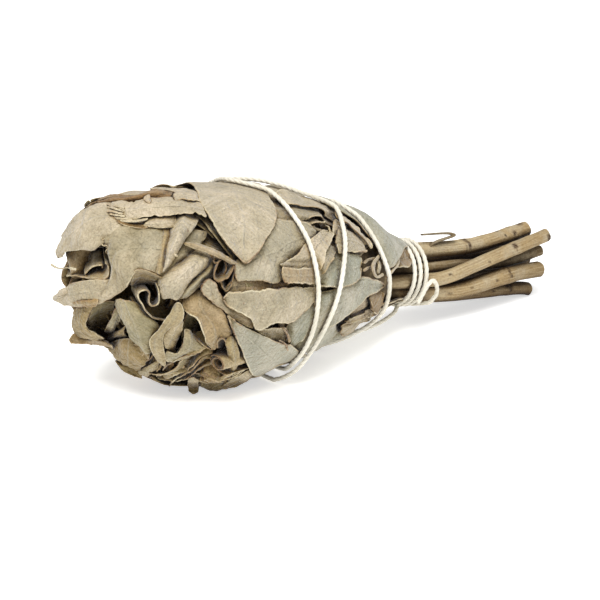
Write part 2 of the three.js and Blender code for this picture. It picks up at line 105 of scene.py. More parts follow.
# ---- camera ----
AZIMUTH, ELEVATION, ROLL = np.radians([-39.11, 18.75, 0.328])
CAMERA_AT = np.array([-218.56, -300.14, 145.33])
LENS = 102
SENSOR = 36
NEAREST = 0.01
BACK = np.array([math.sin(AZIMUTH) * math.cos(ELEVATION),
                 -math.cos(AZIMUTH) * math.cos(ELEVATION), math.sin(ELEVATION)])
LEVEL = np.array([math.cos(AZIMUTH), math.sin(AZIMUTH), 0])
RIGHT = LEVEL * math.cos(ROLL) + np.cross(BACK, LEVEL) * math.sin(ROLL)
UP = np.cross(BACK, RIGHT)


def aim(thing, right, up, back, at):
    """Stands a camera or a lamp at a place in metres, looking against back."""
    thing.matrix_world = Matrix([[right[i], up[i], back[i], at[i]] for i in range(3)] + [[0, 0, 0, 1]])


def set_camera():
    """Stands 400 mm from the bundle, ahead of it on the near side, and looks down at it."""
    data = bpy.data.cameras.new("camera")
    data.sensor_width = SENSOR
    data.lens = LENS
    data.clip_start = NEAREST
    camera = bpy.data.objects.new("camera", data)
    bpy.context.collection.objects.link(camera)
    aim(camera, RIGHT, UP, BACK, CAMERA_AT * MM)
    bpy.context.scene.camera = camera


set_camera()


# ---- the skin of the head ----
CONE_STEPS = 126
DOME_STEPS = 90


def head_outline():
    """The skin from the tie to the tip: a widening cone, then a blunt dome, with its normals."""
    cone_s = S_FULL * np.arange(CONE_STEPS + 1) / CONE_STEPS
    cone_r = R_TIE + (R_HEAD - R_TIE) * np.sin(np.pi / 2 * (cone_s / S_FULL) ** SWELL)
    a = np.radians(90 / DOME_STEPS * np.arange(1, DOME_STEPS + 1))
    dome_s = S_FULL + (S_TIP - S_FULL) * np.sin(a) ** (2 / DOME)
    dome_r = R_HEAD * np.maximum(0, np.cos(a)) ** (2 / DOME)
    s, r = np.append(cone_s, dome_s), np.append(cone_r, dome_r)
    q = gone_along(np.stack([s, r], -1))
    step = np.gradient(q)
    angle = np.arctan2(np.maximum(0, s - S_FULL), r)
    return {"q": q, "s": s, "r": r, "ns": -np.gradient(r) / step, "nr": np.gradient(s) / step,
            "angle": angle}


OUTLINE = head_outline()
Q_TIP = OUTLINE["q"][-1]


def on_head(q, phi, h=0.0):
    """Bundle coordinates of points h above the skin of the head."""
    q, phi, h = np.broadcast_arrays(*(np.asarray(v, float) for v in (q, phi, h)))
    s, r, ns, nr = (np.interp(q, OUTLINE["q"], OUTLINE[k]) for k in ("s", "r", "ns", "nr"))
    f = np.radians(phi)
    lift = smooth(s, *LIFT_STARTS) * (1 - smooth(s, *LIFT_ENDS)) * (1 + np.cos(f)) / 2
    r = r + LIFT * lift + h * nr
    s = s + np.minimum(0, q) + h * ns
    return np.stack([s, r * np.sin(f), r * np.cos(f)], -1)


def under(p):
    """The place on the skin (q, phi) under points in bundle coordinates."""
    s, x, y = p[..., 0], p[..., 1], p[..., 2]
    cone = np.interp(s, OUTLINE["s"][:CONE_STEPS + 1], OUTLINE["q"][:CONE_STEPS + 1])
    dome = np.interp(np.arctan2(s - S_FULL, np.hypot(x, y)),
                     OUTLINE["angle"][CONE_STEPS:], OUTLINE["q"][CONE_STEPS:])
    return np.where(s <= S_FULL, cone, dome), np.degrees(np.arctan2(x, y))


def slant(p):
    """The end of the head is cut on a slant."""
    p = np.array(p, float)
    lean = math.radians(LEAN_AT)
    side = (p[..., 2] * math.cos(lean) + p[..., 1] * math.sin(lean)) / LEAN_R
    p[..., 0] += LEAN * smooth(p[..., 0], *LEAN_OVER) * side
    return p


def place(p):
    """Bundle coordinates to the frame, in metres."""
    p = np.asarray(p, float)
    s, x, y = p[..., 0], p[..., 1], p[..., 2]
    c, d = math.cos(math.radians(TILT)), math.sin(math.radians(TILT))
    return np.stack([TIE[0] - s * c + y * d, TIE[1] - x, TIE[2] + s * d + y * c], -1) * MM


SLANT_ROUNDS = 6      # the slant is taken out by coming closer in so many rounds


def lift_off(p):
    """Bundle coordinates of places in the frame, in mm, with the slant of the end taken out."""
    v = p - np.array(TIE)
    c, d = math.cos(math.radians(TILT)), math.sin(math.radians(TILT))
    s, x, y = v[..., 2] * d - v[..., 0] * c, -v[..., 1], v[..., 0] * d + v[..., 2] * c
    even = s
    for _ in range(SLANT_ROUNDS):
        even = s - (slant(np.stack([even, x, y], -1))[..., 0] - even)
    return np.stack([even, x, y], -1)


FACE_AWAY = 396.67             # the face plane is square to the camera's sight, this far off
FACE_CORNER = (-59.5, 28.0)    # its corner: to the right of and above the middle of the view
SIGHT = np.linspace(0.88, 1.12, 241)   # steps along a line of sight, as shares of that distance


def seen(points):
    """Frame coordinates in mm of [right, down, height] points: where the line of sight through
    that place of the face plane first comes down to that height above the skin."""
    points = np.array(points, float)
    ray = (-BACK * FACE_AWAY + RIGHT * (points[..., [0]] + FACE_CORNER[0])
           + UP * (FACE_CORNER[1] - points[..., [1]]))
    path = CAMERA_AT + ray[..., None, :] * SIGHT[:, None]
    even = lift_off(path)
    q, phi = under(even)
    skin = on_head(q, phi)
    above = np.sum((even - skin) * (on_head(q, phi, 1) - skin), -1) - points[..., [2]]
    inside = above <= 0
    first = np.where(inside.any(-1), inside.argmax(-1), above.argmin(-1))
    first = np.maximum(first, 1)[..., None]
    far, near = np.take_along_axis(above, first, -1), np.take_along_axis(above, first - 1, -1)
    part = np.clip(near / np.where(near - far == 0, 1, near - far), 0, 1)
    return CAMERA_AT + ray * mix(SIGHT[first - 1], SIGHT[first], part)


def skin_at(right, down, height):
    """The [q, phi] of the skin that shows at this place of the face plane."""
    q, phi = under(lift_off(seen([right, down, height])))
    return [float(q), float(phi)]


def spline(points, u):
    """A smooth line through points, at u from 0 to 1."""
    p = np.asarray(points, float)
    u = np.asarray(u, float)
    n = len(p) - 1
    i = np.minimum(n - 1, (u * n).astype(int))
    t = (u * n - i).reshape((-1,) + (1,) * (p.ndim - 1))
    a, b, c, d = (p[np.clip(i + k, 0, n)] for k in (-1, 0, 1, 2))
    return 0.5 * (2 * b + (c - a) * t + (2 * a - 5 * b + 4 * c - d) * t ** 2
                  + (3 * b - a - 3 * c + d) * t ** 3)


def ripple(a, b, size, key):
    """Soft unevenness between about -1 and 1, in waves of about this size."""
    total = 0
    for k in range(5):
        turn = 2 * math.pi * draw(key, 41 + k)
        rate = 2 * math.pi / size * (0.7 + 0.6 * draw(key, 51 + k))
        total = total + np.sin(rate * (a * math.cos(turn) + b * math.sin(turn))
                               + 2 * math.pi * draw(key, 61 + k))
    return total / 3


# ---- meshes ----
class Pile:
    """Thin or round pieces gathered into one mesh, with what their finish needs at each point."""

    def __init__(self):
        self.points, self.faces, self.map, self.tone, self.rim = [], [], [], [], []
        self.count = 0

    def add(self, points, faces, flat, tone, rim):
        """flat: the place on the piece in mm; tone and rim: what its finish reads there."""
        n = len(points)
        self.points.append(points)
        self.faces.append(faces + self.count)
        self.map.append(flat)
        self.tone.append(np.broadcast_to(tone, (n, 3)))
        self.rim.append(np.broadcast_to(rim, (n,)))
        self.count += n

    def make(self, name, material, slot, *nodes):
        points = np.concatenate(self.points)
        mesh = bpy.data.meshes.new(name)
        mesh.from_pydata(points.tolist(), [], np.concatenate(self.faces).tolist())
        mesh.polygons.foreach_set("use_smooth", np.ones(len(mesh.polygons), bool))
        corner = np.empty(len(mesh.loops), int)
        mesh.loops.foreach_get("vertex_index", corner)
        layer = mesh.uv_layers.new(name="flat")
        layer.data.foreach_set("uv", (np.concatenate(self.map)[corner] / FLAT_MM).ravel())
        tone = mesh.attributes.new("tone", "FLOAT_VECTOR", "POINT")
        tone.data.foreach_set("vector", np.concatenate(self.tone).ravel())
        rim = mesh.attributes.new("rim", "FLOAT", "POINT")
        rim.data.foreach_set("value", np.concatenate(self.rim))
        mesh.materials.append(material)
        mesh.update()
        piece = bpy.data.objects.new(name, mesh)
        bpy.context.collection.objects.link(piece)
        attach(piece, "root")
        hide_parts(*nodes)


def square_to(grid):
    """The normals of a grid of points."""
    return unit(np.cross(np.gradient(grid, axis=0), np.gradient(grid, axis=1)))


def above_floor(grid, gap=FLOOR_GAP):
    grid[..., 2] = np.maximum(grid[..., 2], gap * MM)
    return grid


def steps(n, close=1.35):
    """From -1 to 1, closer together at both ends."""
    t = np.linspace(-1, 1, n)
    return np.sign(t) * (1 - (1 - np.abs(t)) ** close)


def shares(n):
    """From 0 to 1, closer together at both ends."""
    return steps(n) / 2 + 0.5


def sheet(pile, grid, wide, long, tone, tip_tone=None, olive_and_shade=0):
    """A leaf as a closed thin body round the grid of its middle, rows along it, columns across.
    wide and long: places on the leaf in mm; tone: colour and browning; olive: how olive and how much darker
    it is, partly the leaf's own green and partly painted shade."""
    nu, nv = grid.shape[:2]
    long = np.broadcast_to(long[:, None], (nu, nv))
    across = np.minimum(np.abs(wide[:, [0]] - wide), np.abs(wide[:, [-1]] - wide))
    margin = np.minimum(across, np.minimum(long - long[0], long[-1] - long))
    half = LEAF_THICK * (0.5 - RIM_THINNER * np.exp(-margin / RIM_THIN_OVER))[..., None] * MM
    normal = square_to(grid)
    points = np.concatenate([(grid + normal * half).reshape(-1, 3),
                             (grid - normal * half).reshape(-1, 3)])
    n = nu * nv
    index = np.arange(n).reshape(nu, nv)
    a, b, c, d = index[:-1, :-1], index[1:, :-1], index[1:, 1:], index[:-1, 1:]
    ring = np.concatenate([index[:, 0], index[-1, 1:], index[-2::-1, -1], index[0, -2:0:-1]])
    after = np.roll(ring, -1)
    faces = [np.stack([a, b, c, d], -1).reshape(-1, 4),
             np.stack([a, d, c, b], -1).reshape(-1, 4) + n,
             np.stack([after, ring, ring + n, after + n], -1)]
    fade = mix(np.array(tone), np.array(tip_tone or tone), shares(nu)[:, None])
    tones = np.full((n, 3), float(olive_and_shade))
    tones[:, :2] = np.repeat(fade, nv, 0)
    rim = np.exp(-margin / RIM_WORN_OVER).ravel()
    flat = np.stack([wide, long], -1).reshape(-1, 2)
    pile.add(points, np.concatenate(faces), np.tile(flat, (2, 1)), np.tile(tones, (2, 1)),
             np.tile(rim, 2))


ASLANT = [0.31, 0.27, 0.91]   # no rod starts this way, so it gives each its first side


def carried_along(path):
    """Two directions square to a path at each step, carried along it without a twist."""
    tangent = unit(np.gradient(path, axis=0))
    side = unit(np.cross(tangent[0], ASLANT))
    sides = []
    for ahead in tangent:
        side = unit(np.cross(np.cross(ahead, side), ahead))
        sides.append(side)
    return np.array(sides), np.cross(tangent, sides)


def round_turn(sides):
    return 2 * np.pi * np.arange(sides) / sides


def rings_along(path, radius, sides):
    """Rings of points round a path in metres; radius in metres, for each step or step and side."""
    side, up = carried_along(path)
    turn = round_turn(sides)[:, None]
    return path[:, None] + radius[..., None] * (np.cos(turn) * side[:, None] + np.sin(turn) * up[:, None])


def rod_map(girth, long):
    """The place of each point on a rod in mm: round it and along it."""
    return np.stack(np.broadcast_arrays(girth[None, :], long[:, None]), -1).reshape(-1, 2)


def add_rod(pile, rings, flat, tone, rim):
    """Closes rings of points into a rod; its last two points are the middles of its ends."""
    n, m = rings.shape[:2]
    index = np.arange(n * m).reshape(n, m)
    after = np.roll(index, -1, axis=1)
    first, last = index[0], index[-1]
    hub = np.full(m, n * m)
    faces = [np.stack([index[:-1], after[:-1], after[1:], index[1:]], -1).reshape(-1, 4),
             np.stack([hub, np.roll(first, -2), np.roll(first, -1), first], -1)[::2],
             np.stack([hub + 1, last, np.roll(last, -1), np.roll(last, -2)], -1)[::2]]
    points = np.concatenate([rings.reshape(-1, 3), [rings[0].mean(0), rings[-1].mean(0)]])
    pile.add(points, np.concatenate(faces), flat, tone, rim)


def plain_rod(pile, path, radius, sides, tone, rim):
    """A rod along a path in metres, with the same finish all over."""
    rings = above_floor(rings_along(path, radius, sides), ROD_GAP)
    long = gone_along(path) / MM
    girth = 2 * np.pi * radius.mean() / MM * np.abs(round_turn(sides) / np.pi - 1)
    add_rod(pile, rings, np.concatenate([rod_map(girth, long), [[0, 0], [0, long[-1]]]]), tone, rim)


# ---- string ----
PLIES = 3
PLY_LAY = 4.6      # one turn of the lay
PLY_R = 0.37
PLY_OUT = 0.19     # the middle of a ply from the middle of the string
PLY_SIDES = 8
PLY_UNEVEN = 0.06
ROD_GAP = 0.02     # a rod stays this far above the floor
STRING_STEP = 0.42
STRING_GAP = STRING_R + 0.1   # the middle of the string stays this far above the floor
SMOOTH_STEPS = 40  # steps between two points of its route
# route over the head as [q, phi, height of its middle above the skin]
ROUTE = [
    [15, 160, 0.9], [18, 176, 0.6], [20, -160, 0.6], [20.5, -130, 0.6], [20, -95, 0.6],
    [20.5, -60, 0.6], [22.5, -25, 0.6], [24, 0, 0.6], [22.5, 14, 0.6], [20.5, 24, 0.6],
    [19, 45, 0.6], [16.5, 65, 0.6], [14.5, 82, 0.6], [13.5, 106, 0.6], [14, 126, 0.6],
    [17.5, 146, 0.6], [23, 164, 0.6], [28, -178, 0.6], [33, -150, 0.6], [37, -120, 0.6],
    [42, -90, 0.6], [45, -62, 0.6], [48.5, -40, 0.6], [50.2, -28, 0.6], [51.6, -18, 0.6],
    [53, -6, 0.6], [52.3, 4, 0.6], [50.3, 11, 0.6], [49, 18, 0.6], [48.5, 33, 0.6],
    [47.5, 51, 0.6], [47, 67, 0.6], [46.5, 83, 0.6], [46, 102, 0.6], [45.5, 121, 0.6],
    [44, 142, 0.6], [41, 158, 0.6], [39, 176, 0.6], [39.5, -162, 0.6], [42, -135, 0.6],
    [47, -105, 0.6], [48.3, -80, 0.6], [49, -64, 0.8], [49, -54, 1.5], [48.8, -44, 2.2],
    [48.5, -35, 2.1], [47.8, -26, 1.3], [47, -17, 0.7], [45.4, -6, 0.6], [42.6, 5, 0.6], [39.5, 13, 0.7],
    [34.5, 15, 0.7], [31, 17, 0.7], [29.6, 22, 0.7], [31, 34, 0.6], [33.5, 52, 0.6],
    [36.5, 71, 0.6], [38.5, 88, 0.6], [40.5, 106, 0.6], [42.5, 124, 1.2], [44.5, 138, 2.2],
    [46.5, 152, 2.1], [46, 170, 1.2], [45, -172, 1.4], [43.5, -158, 2.2], [40.5, -142, 2.2],
    [37, -126, 2.2], [32, -115, 1.8], [26, -106, 1.6], [20, -98, 2.2], [14, -92, 1.4],
    [8, -88, 0.8], [5, -86, 0.7],
]
# from its free tail up and over as a loop to the first turn, in bundle coordinates
BOW = [
    [-0.7, 9.9, -5.4], [-1.6, 10.1, -3.3], [-2.4, 10.5, -1.1], [-3.5, 10.7, 0.3], [-4.7, 10.6, 0.2],
    [-6.1, 10.3, -1.2], [-6.9, 9.8, -3.2], [-6.7, 9, -4.8], [-6.4, 7.6, -6.2],
]
TURNS = 3
PER_TURN = 14      # points in a turn
RING_FROM = -5.8
RING_PITCH = 2
RING_AT = 150
# s, degrees round the tie and radius: where it hangs free below the neck, and its tucked end
SLACK = [[2.6, 150, 10.4], [8, 154, 12.6]]
LAST = [2.2, -80, 9.5]


def round_tie(s, phi, r):
    return place(np.array([s, r * math.sin(math.radians(phi)), r * math.cos(math.radians(phi))]))


def string_path():
    """The middle of the string in metres, from its free tail to its tucked end, and its length."""
    points = [place(p) for p in BOW]
    for i in range(1, TURNS * PER_TURN + 1):
        turns = i / PER_TURN
        points.append(round_tie(RING_FROM + turns * RING_PITCH, RING_AT + turns * 360, RING_R))
    points += [round_tie(*p) for p in SLACK]
    points += list(place(slant(on_head(*np.array(ROUTE).T))))
    points.append(round_tie(*LAST))
    path = spline(np.array(points), np.linspace(0, 1, len(points) * SMOOTH_STEPS))
    path = above_floor(path, STRING_GAP)
    gone = gone_along(path)
    even = np.linspace(0, gone[-1], int(gone[-1] / (STRING_STEP * MM)))
    return np.stack([np.interp(even, gone, path[:, k]) for k in range(3)], -1), gone[-1]


def twisted_string(material):
    """Three plies laid round each other."""
    path, length = string_path()
    side, up = carried_along(path)
    gone = np.linspace(0, length, len(path)) / MM
    pile = Pile()
    for ply in range(PLIES):
        turn = 2 * np.pi * (gone / PLY_LAY + ply / PLIES)[:, None]
        radius = PLY_R * (1 + PLY_UNEVEN * ripple(gone, 0, 5, 90 + ply))[:, None] * MM
        middle = path + (PLY_OUT * MM) * (np.cos(turn) * side + np.sin(turn) * up)
        plain_rod(pile, middle, radius, PLY_SIDES, (0.5, 0, 1), 0)
    print("string length, mm:", round(length / MM))
    pile.make("string_plies", material, "cotton_string", "string")


# ---- stems ----
# r: radius; dark: how dark the bark is, and on stems 3, 4, 7 and 8, which lie inside the bunch or on its
# far side, also painted shade for the gaps between them; joints: s where leaves once grew; scars: dark
# marks as s, the side of the stem in degrees from its top, half length, half width; line: its middle as [s,
# x, y] from the cut end into the head
STEMS = [
    {"r": 2.1, "dark": 0.1, "joints": [-24.3, -42],
     "scars": [[-24.2, 15, 0.5, 1], [-24.9, 66, 0.55, 1.1], [-41.6, 60, 0.5, 0.6],
               [-45.2, -8, 1.1, 1], [-36.6, -6, 0.4, 0.6], [-38.2, 62, 0.3, 0.4]],
     "line": [[-47.5, -0.6, 9.3], [-27, -0.2, 5.7], [-3, -0.5, 5.15], [26, -0.4, 4.9]]},
    {"r": 1.8, "dark": 0.2, "joints": [-39],
     "scars": [[-37.9, 40, 0.75, 0.8], [-13.5, 54, 0.6, 0.3], [-27.6, 84, 0.4, 0.3],
               [-50, 100, 0.6, 1.2]],
     "line": [[-50.5, 4.2, 8.7], [-40, 4.4, 5.9], [-27, 5.1, 2.8], [-13, 6, -0.4],
              [-3, 5.55, -0.9], [24, 5.2, -0.6]]},
    {"r": 1.5, "dark": 0.8, "joints": [-45], "scars": [],
     "line": [[-52, 1.5, 3.8], [-37, 1.3, 1], [-20, 1.4, 1.3], [-3, 1.8, 0.8], [25, 1.6, 0.8]]},
    {"r": 1.4, "dark": 0.9, "joints": [-39], "scars": [],
     "line": [[-51, -1.5, 1.1], [-30, -1.8, -2], [-3, -1.6, -1.8], [25, -1.5, -1.7]]},
    {"r": 2.1, "dark": 0.35, "joints": [-36],
     "scars": [[-36.2, 20, 0.3, 0.7], [-35.8, 50, 0.35, 0.6], [-36.1, 80, 0.3, 0.5],
               [-14.7, 90, 0.7, 0.4], [-22, 75, 0.5, 0.3], [-31, 80, 0.35, 0.3]],
     "line": [[-49.5, 4.4, -0.5], [-37, 5.2, -1.3], [-18, 5.3, -4.3], [-3, 3.3, -4.3],
              [25, 2.9, -4.1]]},
    {"r": 1.7, "dark": 0.25, "joints": [-40.6],
     "scars": [[-41, 60, 0.65, 1.3], [-39.6, 50, 0.4, 0.7], [-26.1, 66, 0.9, 0.5],
               [-35, 80, 0.35, 0.3]],
     "line": [[-49, 2.2, -6.45], [-43, 1.8, -6.1], [-16, 0.6, -6.8], [-3, -0.6, -5.5],
              [25, -0.9, -5.3]]},
    {"r": 1.5, "dark": 0.9, "joints": [-36], "scars": [],
     "line": [[-46, -5.4, 2.6], [-25, -5.6, 1.6], [-3, -5.75, 0], [25, -5.3, 0.1]]},
    {"r": 1.6, "dark": 0.9, "joints": [-31], "scars": [],
     "line": [[-44.5, -5.2, -3.8], [-20, -4.8, -4.1], [-3, -4.1, -4], [25, -4.1, -3.7]]},
]
# its root on the first stem, its bend and its tip, as [s, x, y]
STALK = [[-11, 0.6, 6.2], [-13, 1.1, 7.7], [-17.6, 1.1, 8.7], [-19.2, 1, 9.2], [-16.4, 0.8, 9.7],
         [-8, 0.6, 9.6]]
STALK_R, STALK_FLAT, TIP_THINNER = 0.5, 0.14, 0.16
STALK_STEPS = 60
STALK_SIDES = 10
STEM_STEPS = 150
STEM_SIDES = 36
# rings of the cut face: share of the radius, how far it stands out, shade of its year ring
CUT_FACE = ((0.2, 0.12, 0.2), (0.55, 0.2, 0.55), (0.93, 0.12, 0.95))
BROWNER = 0.4             # how much darker a stem is at its cut end
BROWNER_OVER = (24, 42)   # it turns so between these distances from the tie
# the section of a stem: how far it stands out, how many times round, how far each stem is turned
RIBS = ((0.03, 4, 1), (0.012, 11, 2))
UNEVEN, UNEVEN_SIZE = 0.025, 9
JOINT_SWELL, JOINT_LONG = 0.07, 1.8
GROOVE_DEEP, GROOVE_LONG = 0.02, 0.4   # the fine groove beside each joint
CRACK_DARK, CRACK_LONG = 0.55, 0.28    # and the dark broken line in it
BESIDE_JOINT = (1.1, 1)                # how far from the joint's middle both are


def cut_stem(number, stem, material):
    """A dry stem: slightly square and ribbed, swollen at its joints, with a clean cut. Its tone is
    how dark it is, how cracked or scarred, and 1 on the cut face; its rim is the year ring."""
    line = spline(stem["line"], np.linspace(0, 1, STEM_STEPS))
    turn = round_turn(STEM_SIDES)
    s, r = line[:, [0]], stem["r"]
    size = np.ones((STEM_STEPS, STEM_SIDES))
    for out, times, turned in RIBS:
        size += out * np.cos(times * turn + turned * number)
    long = gone_along(line)
    size += UNEVEN * ripple(long[:, None], r * np.sin(turn) * 2, UNEVEN_SIZE, number + 10)
    scar = np.zeros_like(size)
    for k, joint in enumerate(stem["joints"]):
        away = s - joint - 0.5 * np.sin(turn + 1.7 * number + k)
        size += JOINT_SWELL * np.exp(-(away / JOINT_LONG) ** 2)
        size -= GROOVE_DEEP * np.exp(-((away - BESIDE_JOINT[0]) / GROOVE_LONG) ** 2)
        part = CRACK_DARK * smooth(ripple(s * 3, turn * 3, 2, number + 60), -0.2, 0.8)
        scar += np.exp(-((away - BESIDE_JOINT[1]) / CRACK_LONG) ** 2) * part
    middle = place(line)
    rings = rings_along(middle, size * r * MM, STEM_SIDES)
    outward = unit(rings - middle[:, None])
    for at_s, side, half_long, half_wide in stem["scars"]:
        towards = place([0, math.sin(math.radians(side)), math.cos(math.radians(side))]) - place([0, 0, 0])
        off = r * np.arccos(np.clip(outward @ unit(towards), -1, 1))
        ragged = 1 + 0.5 * ripple(s * 4, turn * 4, 2, number + 70)
        scar += np.exp(-((s - at_s) / half_long) ** 4 - (off / half_wide) ** 4) * ragged
    centre = rings[0].mean(0)
    ahead = unit(middle[0] - middle[1])
    cut = [centre + (rings[0] - centre) * share + ahead * reach * MM for share, reach, _ in CUT_FACE]
    rows = len(CUT_FACE)
    flat = rod_map(r * np.abs(turn - np.pi), np.append(-0.2 * np.arange(rows, 0, -1), long))
    tone = np.zeros((rows + STEM_STEPS, STEM_SIDES, 3))
    tone[:, :, 0] = stem["dark"]
    tone[rows:, :, 0] += BROWNER * smooth(-s, *BROWNER_OVER)
    tone[rows:, :, 1] = np.clip(scar, 0, 1)
    tone[:rows, :, 2] = 1
    rim = np.append(np.repeat([ring for _, _, ring in CUT_FACE], STEM_SIDES),
                    np.ones(STEM_STEPS * STEM_SIDES))
    ends = [[0.5, 0, 1], [0.5, 0, 0]]    # the tone in the middle of the cut face and of the hidden end
    pile = Pile()
    add_rod(pile, np.concatenate([cut, rings]), np.concatenate([flat, [[0, 0], [0, 0]]]),
            np.concatenate([tone.reshape(-1, 3), ends]), np.append(rim, [0, 0]))
    if number == 1:
        dry_stalk(pile)
    pile.make(f"cut_stem_{number}", material, "dried_stem", f"stem_{number}")


def dry_stalk(pile):
    """The bent flat stalk of a lost leaf, thinner at its tip."""
    u = np.linspace(0, 1, STALK_STEPS)
    line = spline(STALK, u)
    tip = smooth(u, 0.7, 1)[:, None]
    radius = STALK_R + STALK_FLAT * np.cos(2 * round_turn(STALK_SIDES)) - TIP_THINNER * tip
    plain_rod(pile, place(line), radius * MM, STALK_SIDES, (0.9, 0.25, 0), 1)


# ---- leaves that lie on the head ----
# the ceiling over the skin is kept in cells of this many mm along q and degrees of phi
SKIN_Q = 1.0
SKIN_PHI = 3.0
SKIN_SHAPE = (int(Q_TIP / SKIN_Q) + 2, int(360 / SKIN_PHI))
FREE = 9.0              # how high a leaf may stand far from the string
BELOW_STRING = 0.64     # how far below the middle of the string a leaf passes under it
BESIDE_STRING = 0.6     # how far from that middle it may start to rise
RISE_BESIDE = 0.6       # and how fast it then rises


def pressed_by_string():
    """How high a leaf may stand anywhere on the head: low under the string, rising beside it."""
    q = SKIN_Q * np.arange(SKIN_SHAPE[0])[:, None]
    phi = SKIN_PHI * np.arange(SKIN_SHAPE[1])[None, :]
    r = np.interp(q, OUTLINE["q"], OUTLINE["r"])
    top = np.full(SKIN_SHAPE, FREE)
    for (q0, phi0, h0), (q1, phi1, h1) in zip(ROUTE[:-2], ROUTE[1:-1]):
        turn = (phi1 - phi0 + 540) % 360 - 180
        for t in (0, 0.2, 0.4, 0.6, 0.8):
            round_by = (phi0 + turn * t - phi + 900) % 360 - 180
            away = np.hypot(mix(q0, q1, t) - q, r * np.radians(round_by))
            rise = RISE_BESIDE * np.maximum(0, away - BESIDE_STRING)
            top = np.minimum(top, mix(h0, h1, t) - BELOW_STRING + rise)
    return top


ceiling = pressed_by_string()


def cells(q, phi):
    """The four cells of the ceiling round each place on the skin."""
    i = np.clip(q / SKIN_Q, 0, SKIN_SHAPE[0] - 1.001).astype(int)
    j = ((phi % 360) / SKIN_PHI).astype(int)
    for di in (0, 1):
        for dj in (0, 1):
            yield i + di, (j + dj) % SKIN_SHAPE[1]


def room_over(q, phi):
    return np.min([ceiling[i, j] for i, j in cells(q, phi)], axis=0)


def cover(q, phi, h):
    """What lies further in has to stay below h here."""
    for i, j in cells(q, phi):
        np.minimum.at(ceiling, (i, j), h)


def narrowing(long, over, least):
    """How much of its width a leaf has along it: round ends of this length."""
    near = np.clip(np.minimum(long, long[-1] - long) / over, least, 1)
    return np.sqrt(1 - (1 - near) ** 2)


def torn(along, key, size=0.25):
    """How far a margin strays from its line: slow waves, short tears and fine nicks."""
    return (size * ripple(along, 0, 5, key) + 0.11 * ripple(along, 0, 1.3, key + 1)
            + 0.05 * ripple(along, 0, 0.6, key + 2))


BROAD_WAVE, SMALL_WAVE, LIFT_WAVE = 9, 3.5, 12    # how long the waves of a blade and its margin are
LIFTED_FROM = 0.72   # share of its half width where the lifted margin of a leaf starts
RIB_GROOVE, RIB_WIDE = 0.18, 0.7
NARROWEST = 1.5      # a margin strays as if its leaf were at least this wide
PRESSINGS = 8        # rounds in which a leaf is smoothed under what lies on it


def lying_leaf(pile, left, right, tone, key, base=-0.3, tip=0.1, edge=0.3, hump=0, curl=0.4,
               waves=0.25, ends=1.5, worn=0.12, tip_tone=None, nv=24):
    """A leaf between two margins, draped under whatever lies on it and over the head. base and tip:
    its height at both ends; edge, hump and curl: how much its sides, middle and margins rise."""
    nu = len(left)
    u, v = shares(nu)[:, None], steps(nv)[None, :]
    mid, half = (left + right) / 2, (right - left) / 2
    long = gone_along(mid)
    w = np.linalg.norm(half, axis=1)[:, None]
    stray = [torn(long, key + 20 * k, worn)[:, None] for k in (0, 1)]
    grow = 1 + np.where(v < 0, *stray) / np.maximum(w, NARROWEST)
    taper = narrowing(long, ends, 0.02)[:, None]
    q, phi = under(mid[:, None] + half[:, None] * (v * grow * taper)[..., None])
    wide = v * w * taper
    h = mix(base, tip, u) + edge * v ** 2 + hump * np.sin(np.pi * u) * (1 - 0.4 * v ** 2)
    h = h + waves * ripple(wide, long[:, None], BROAD_WAVE, key)
    h = h + 0.3 * waves * ripple(wide, long[:, None], SMALL_WAVE, key + 5)
    lifted = smooth(np.abs(v), LIFTED_FROM, 1) * (0.5 + 0.5 * ripple(long, 0, LIFT_WAVE, key + 7)[:, None])
    h = h + curl * lifted - RIB_GROOVE * np.exp(-(wide / RIB_WIDE) ** 2)
    room = room_over(q, phi)
    h = np.minimum(h, room)
    for _ in range(PRESSINGS):
        e = np.pad(h, 1, mode="edge")
        beside = e[2:, 1:-1] + e[:-2, 1:-1] + e[1:-1, 2:] + e[1:-1, :-2]
        h = np.minimum(h / 2 + beside / 8, room)
    cover(q, phi, h - LEAF_THICK - LEAF_AIR)
    sheet(pile, above_floor(place(slant(on_head(q, phi, h - LEAF_THICK / 2)))), wide, long, tone, tip_tone)


def margins(rows, nu):
    """Both margins of a leaf on the skin, from rows of two points across it."""
    return [spline([on_head(*(p if len(p) == 2 else skin_at(*p))) for p in side], shares(nu))
            for side in zip(*rows)]


def rib_margins(rib, wide, blunt, nu):
    """Both margins of a leaf, from the [q, phi] points of its midrib and its half width."""
    u = shares(nu)
    points = on_head(*np.array(rib, float).T)
    p = spline(points, u)
    along = spline(points, np.minimum(1, u + 0.02)) - spline(points, np.maximum(0, u - 0.02))
    q, phi = under(p)
    out = on_head(q, phi, 1) - on_head(q, phi)
    side = unit(np.cross(along, out))
    w = wide * np.sin(np.pi * (0.03 + 0.96 * u) ** 0.9) ** blunt
    return p - side * w[:, None], p + side * w[:, None]


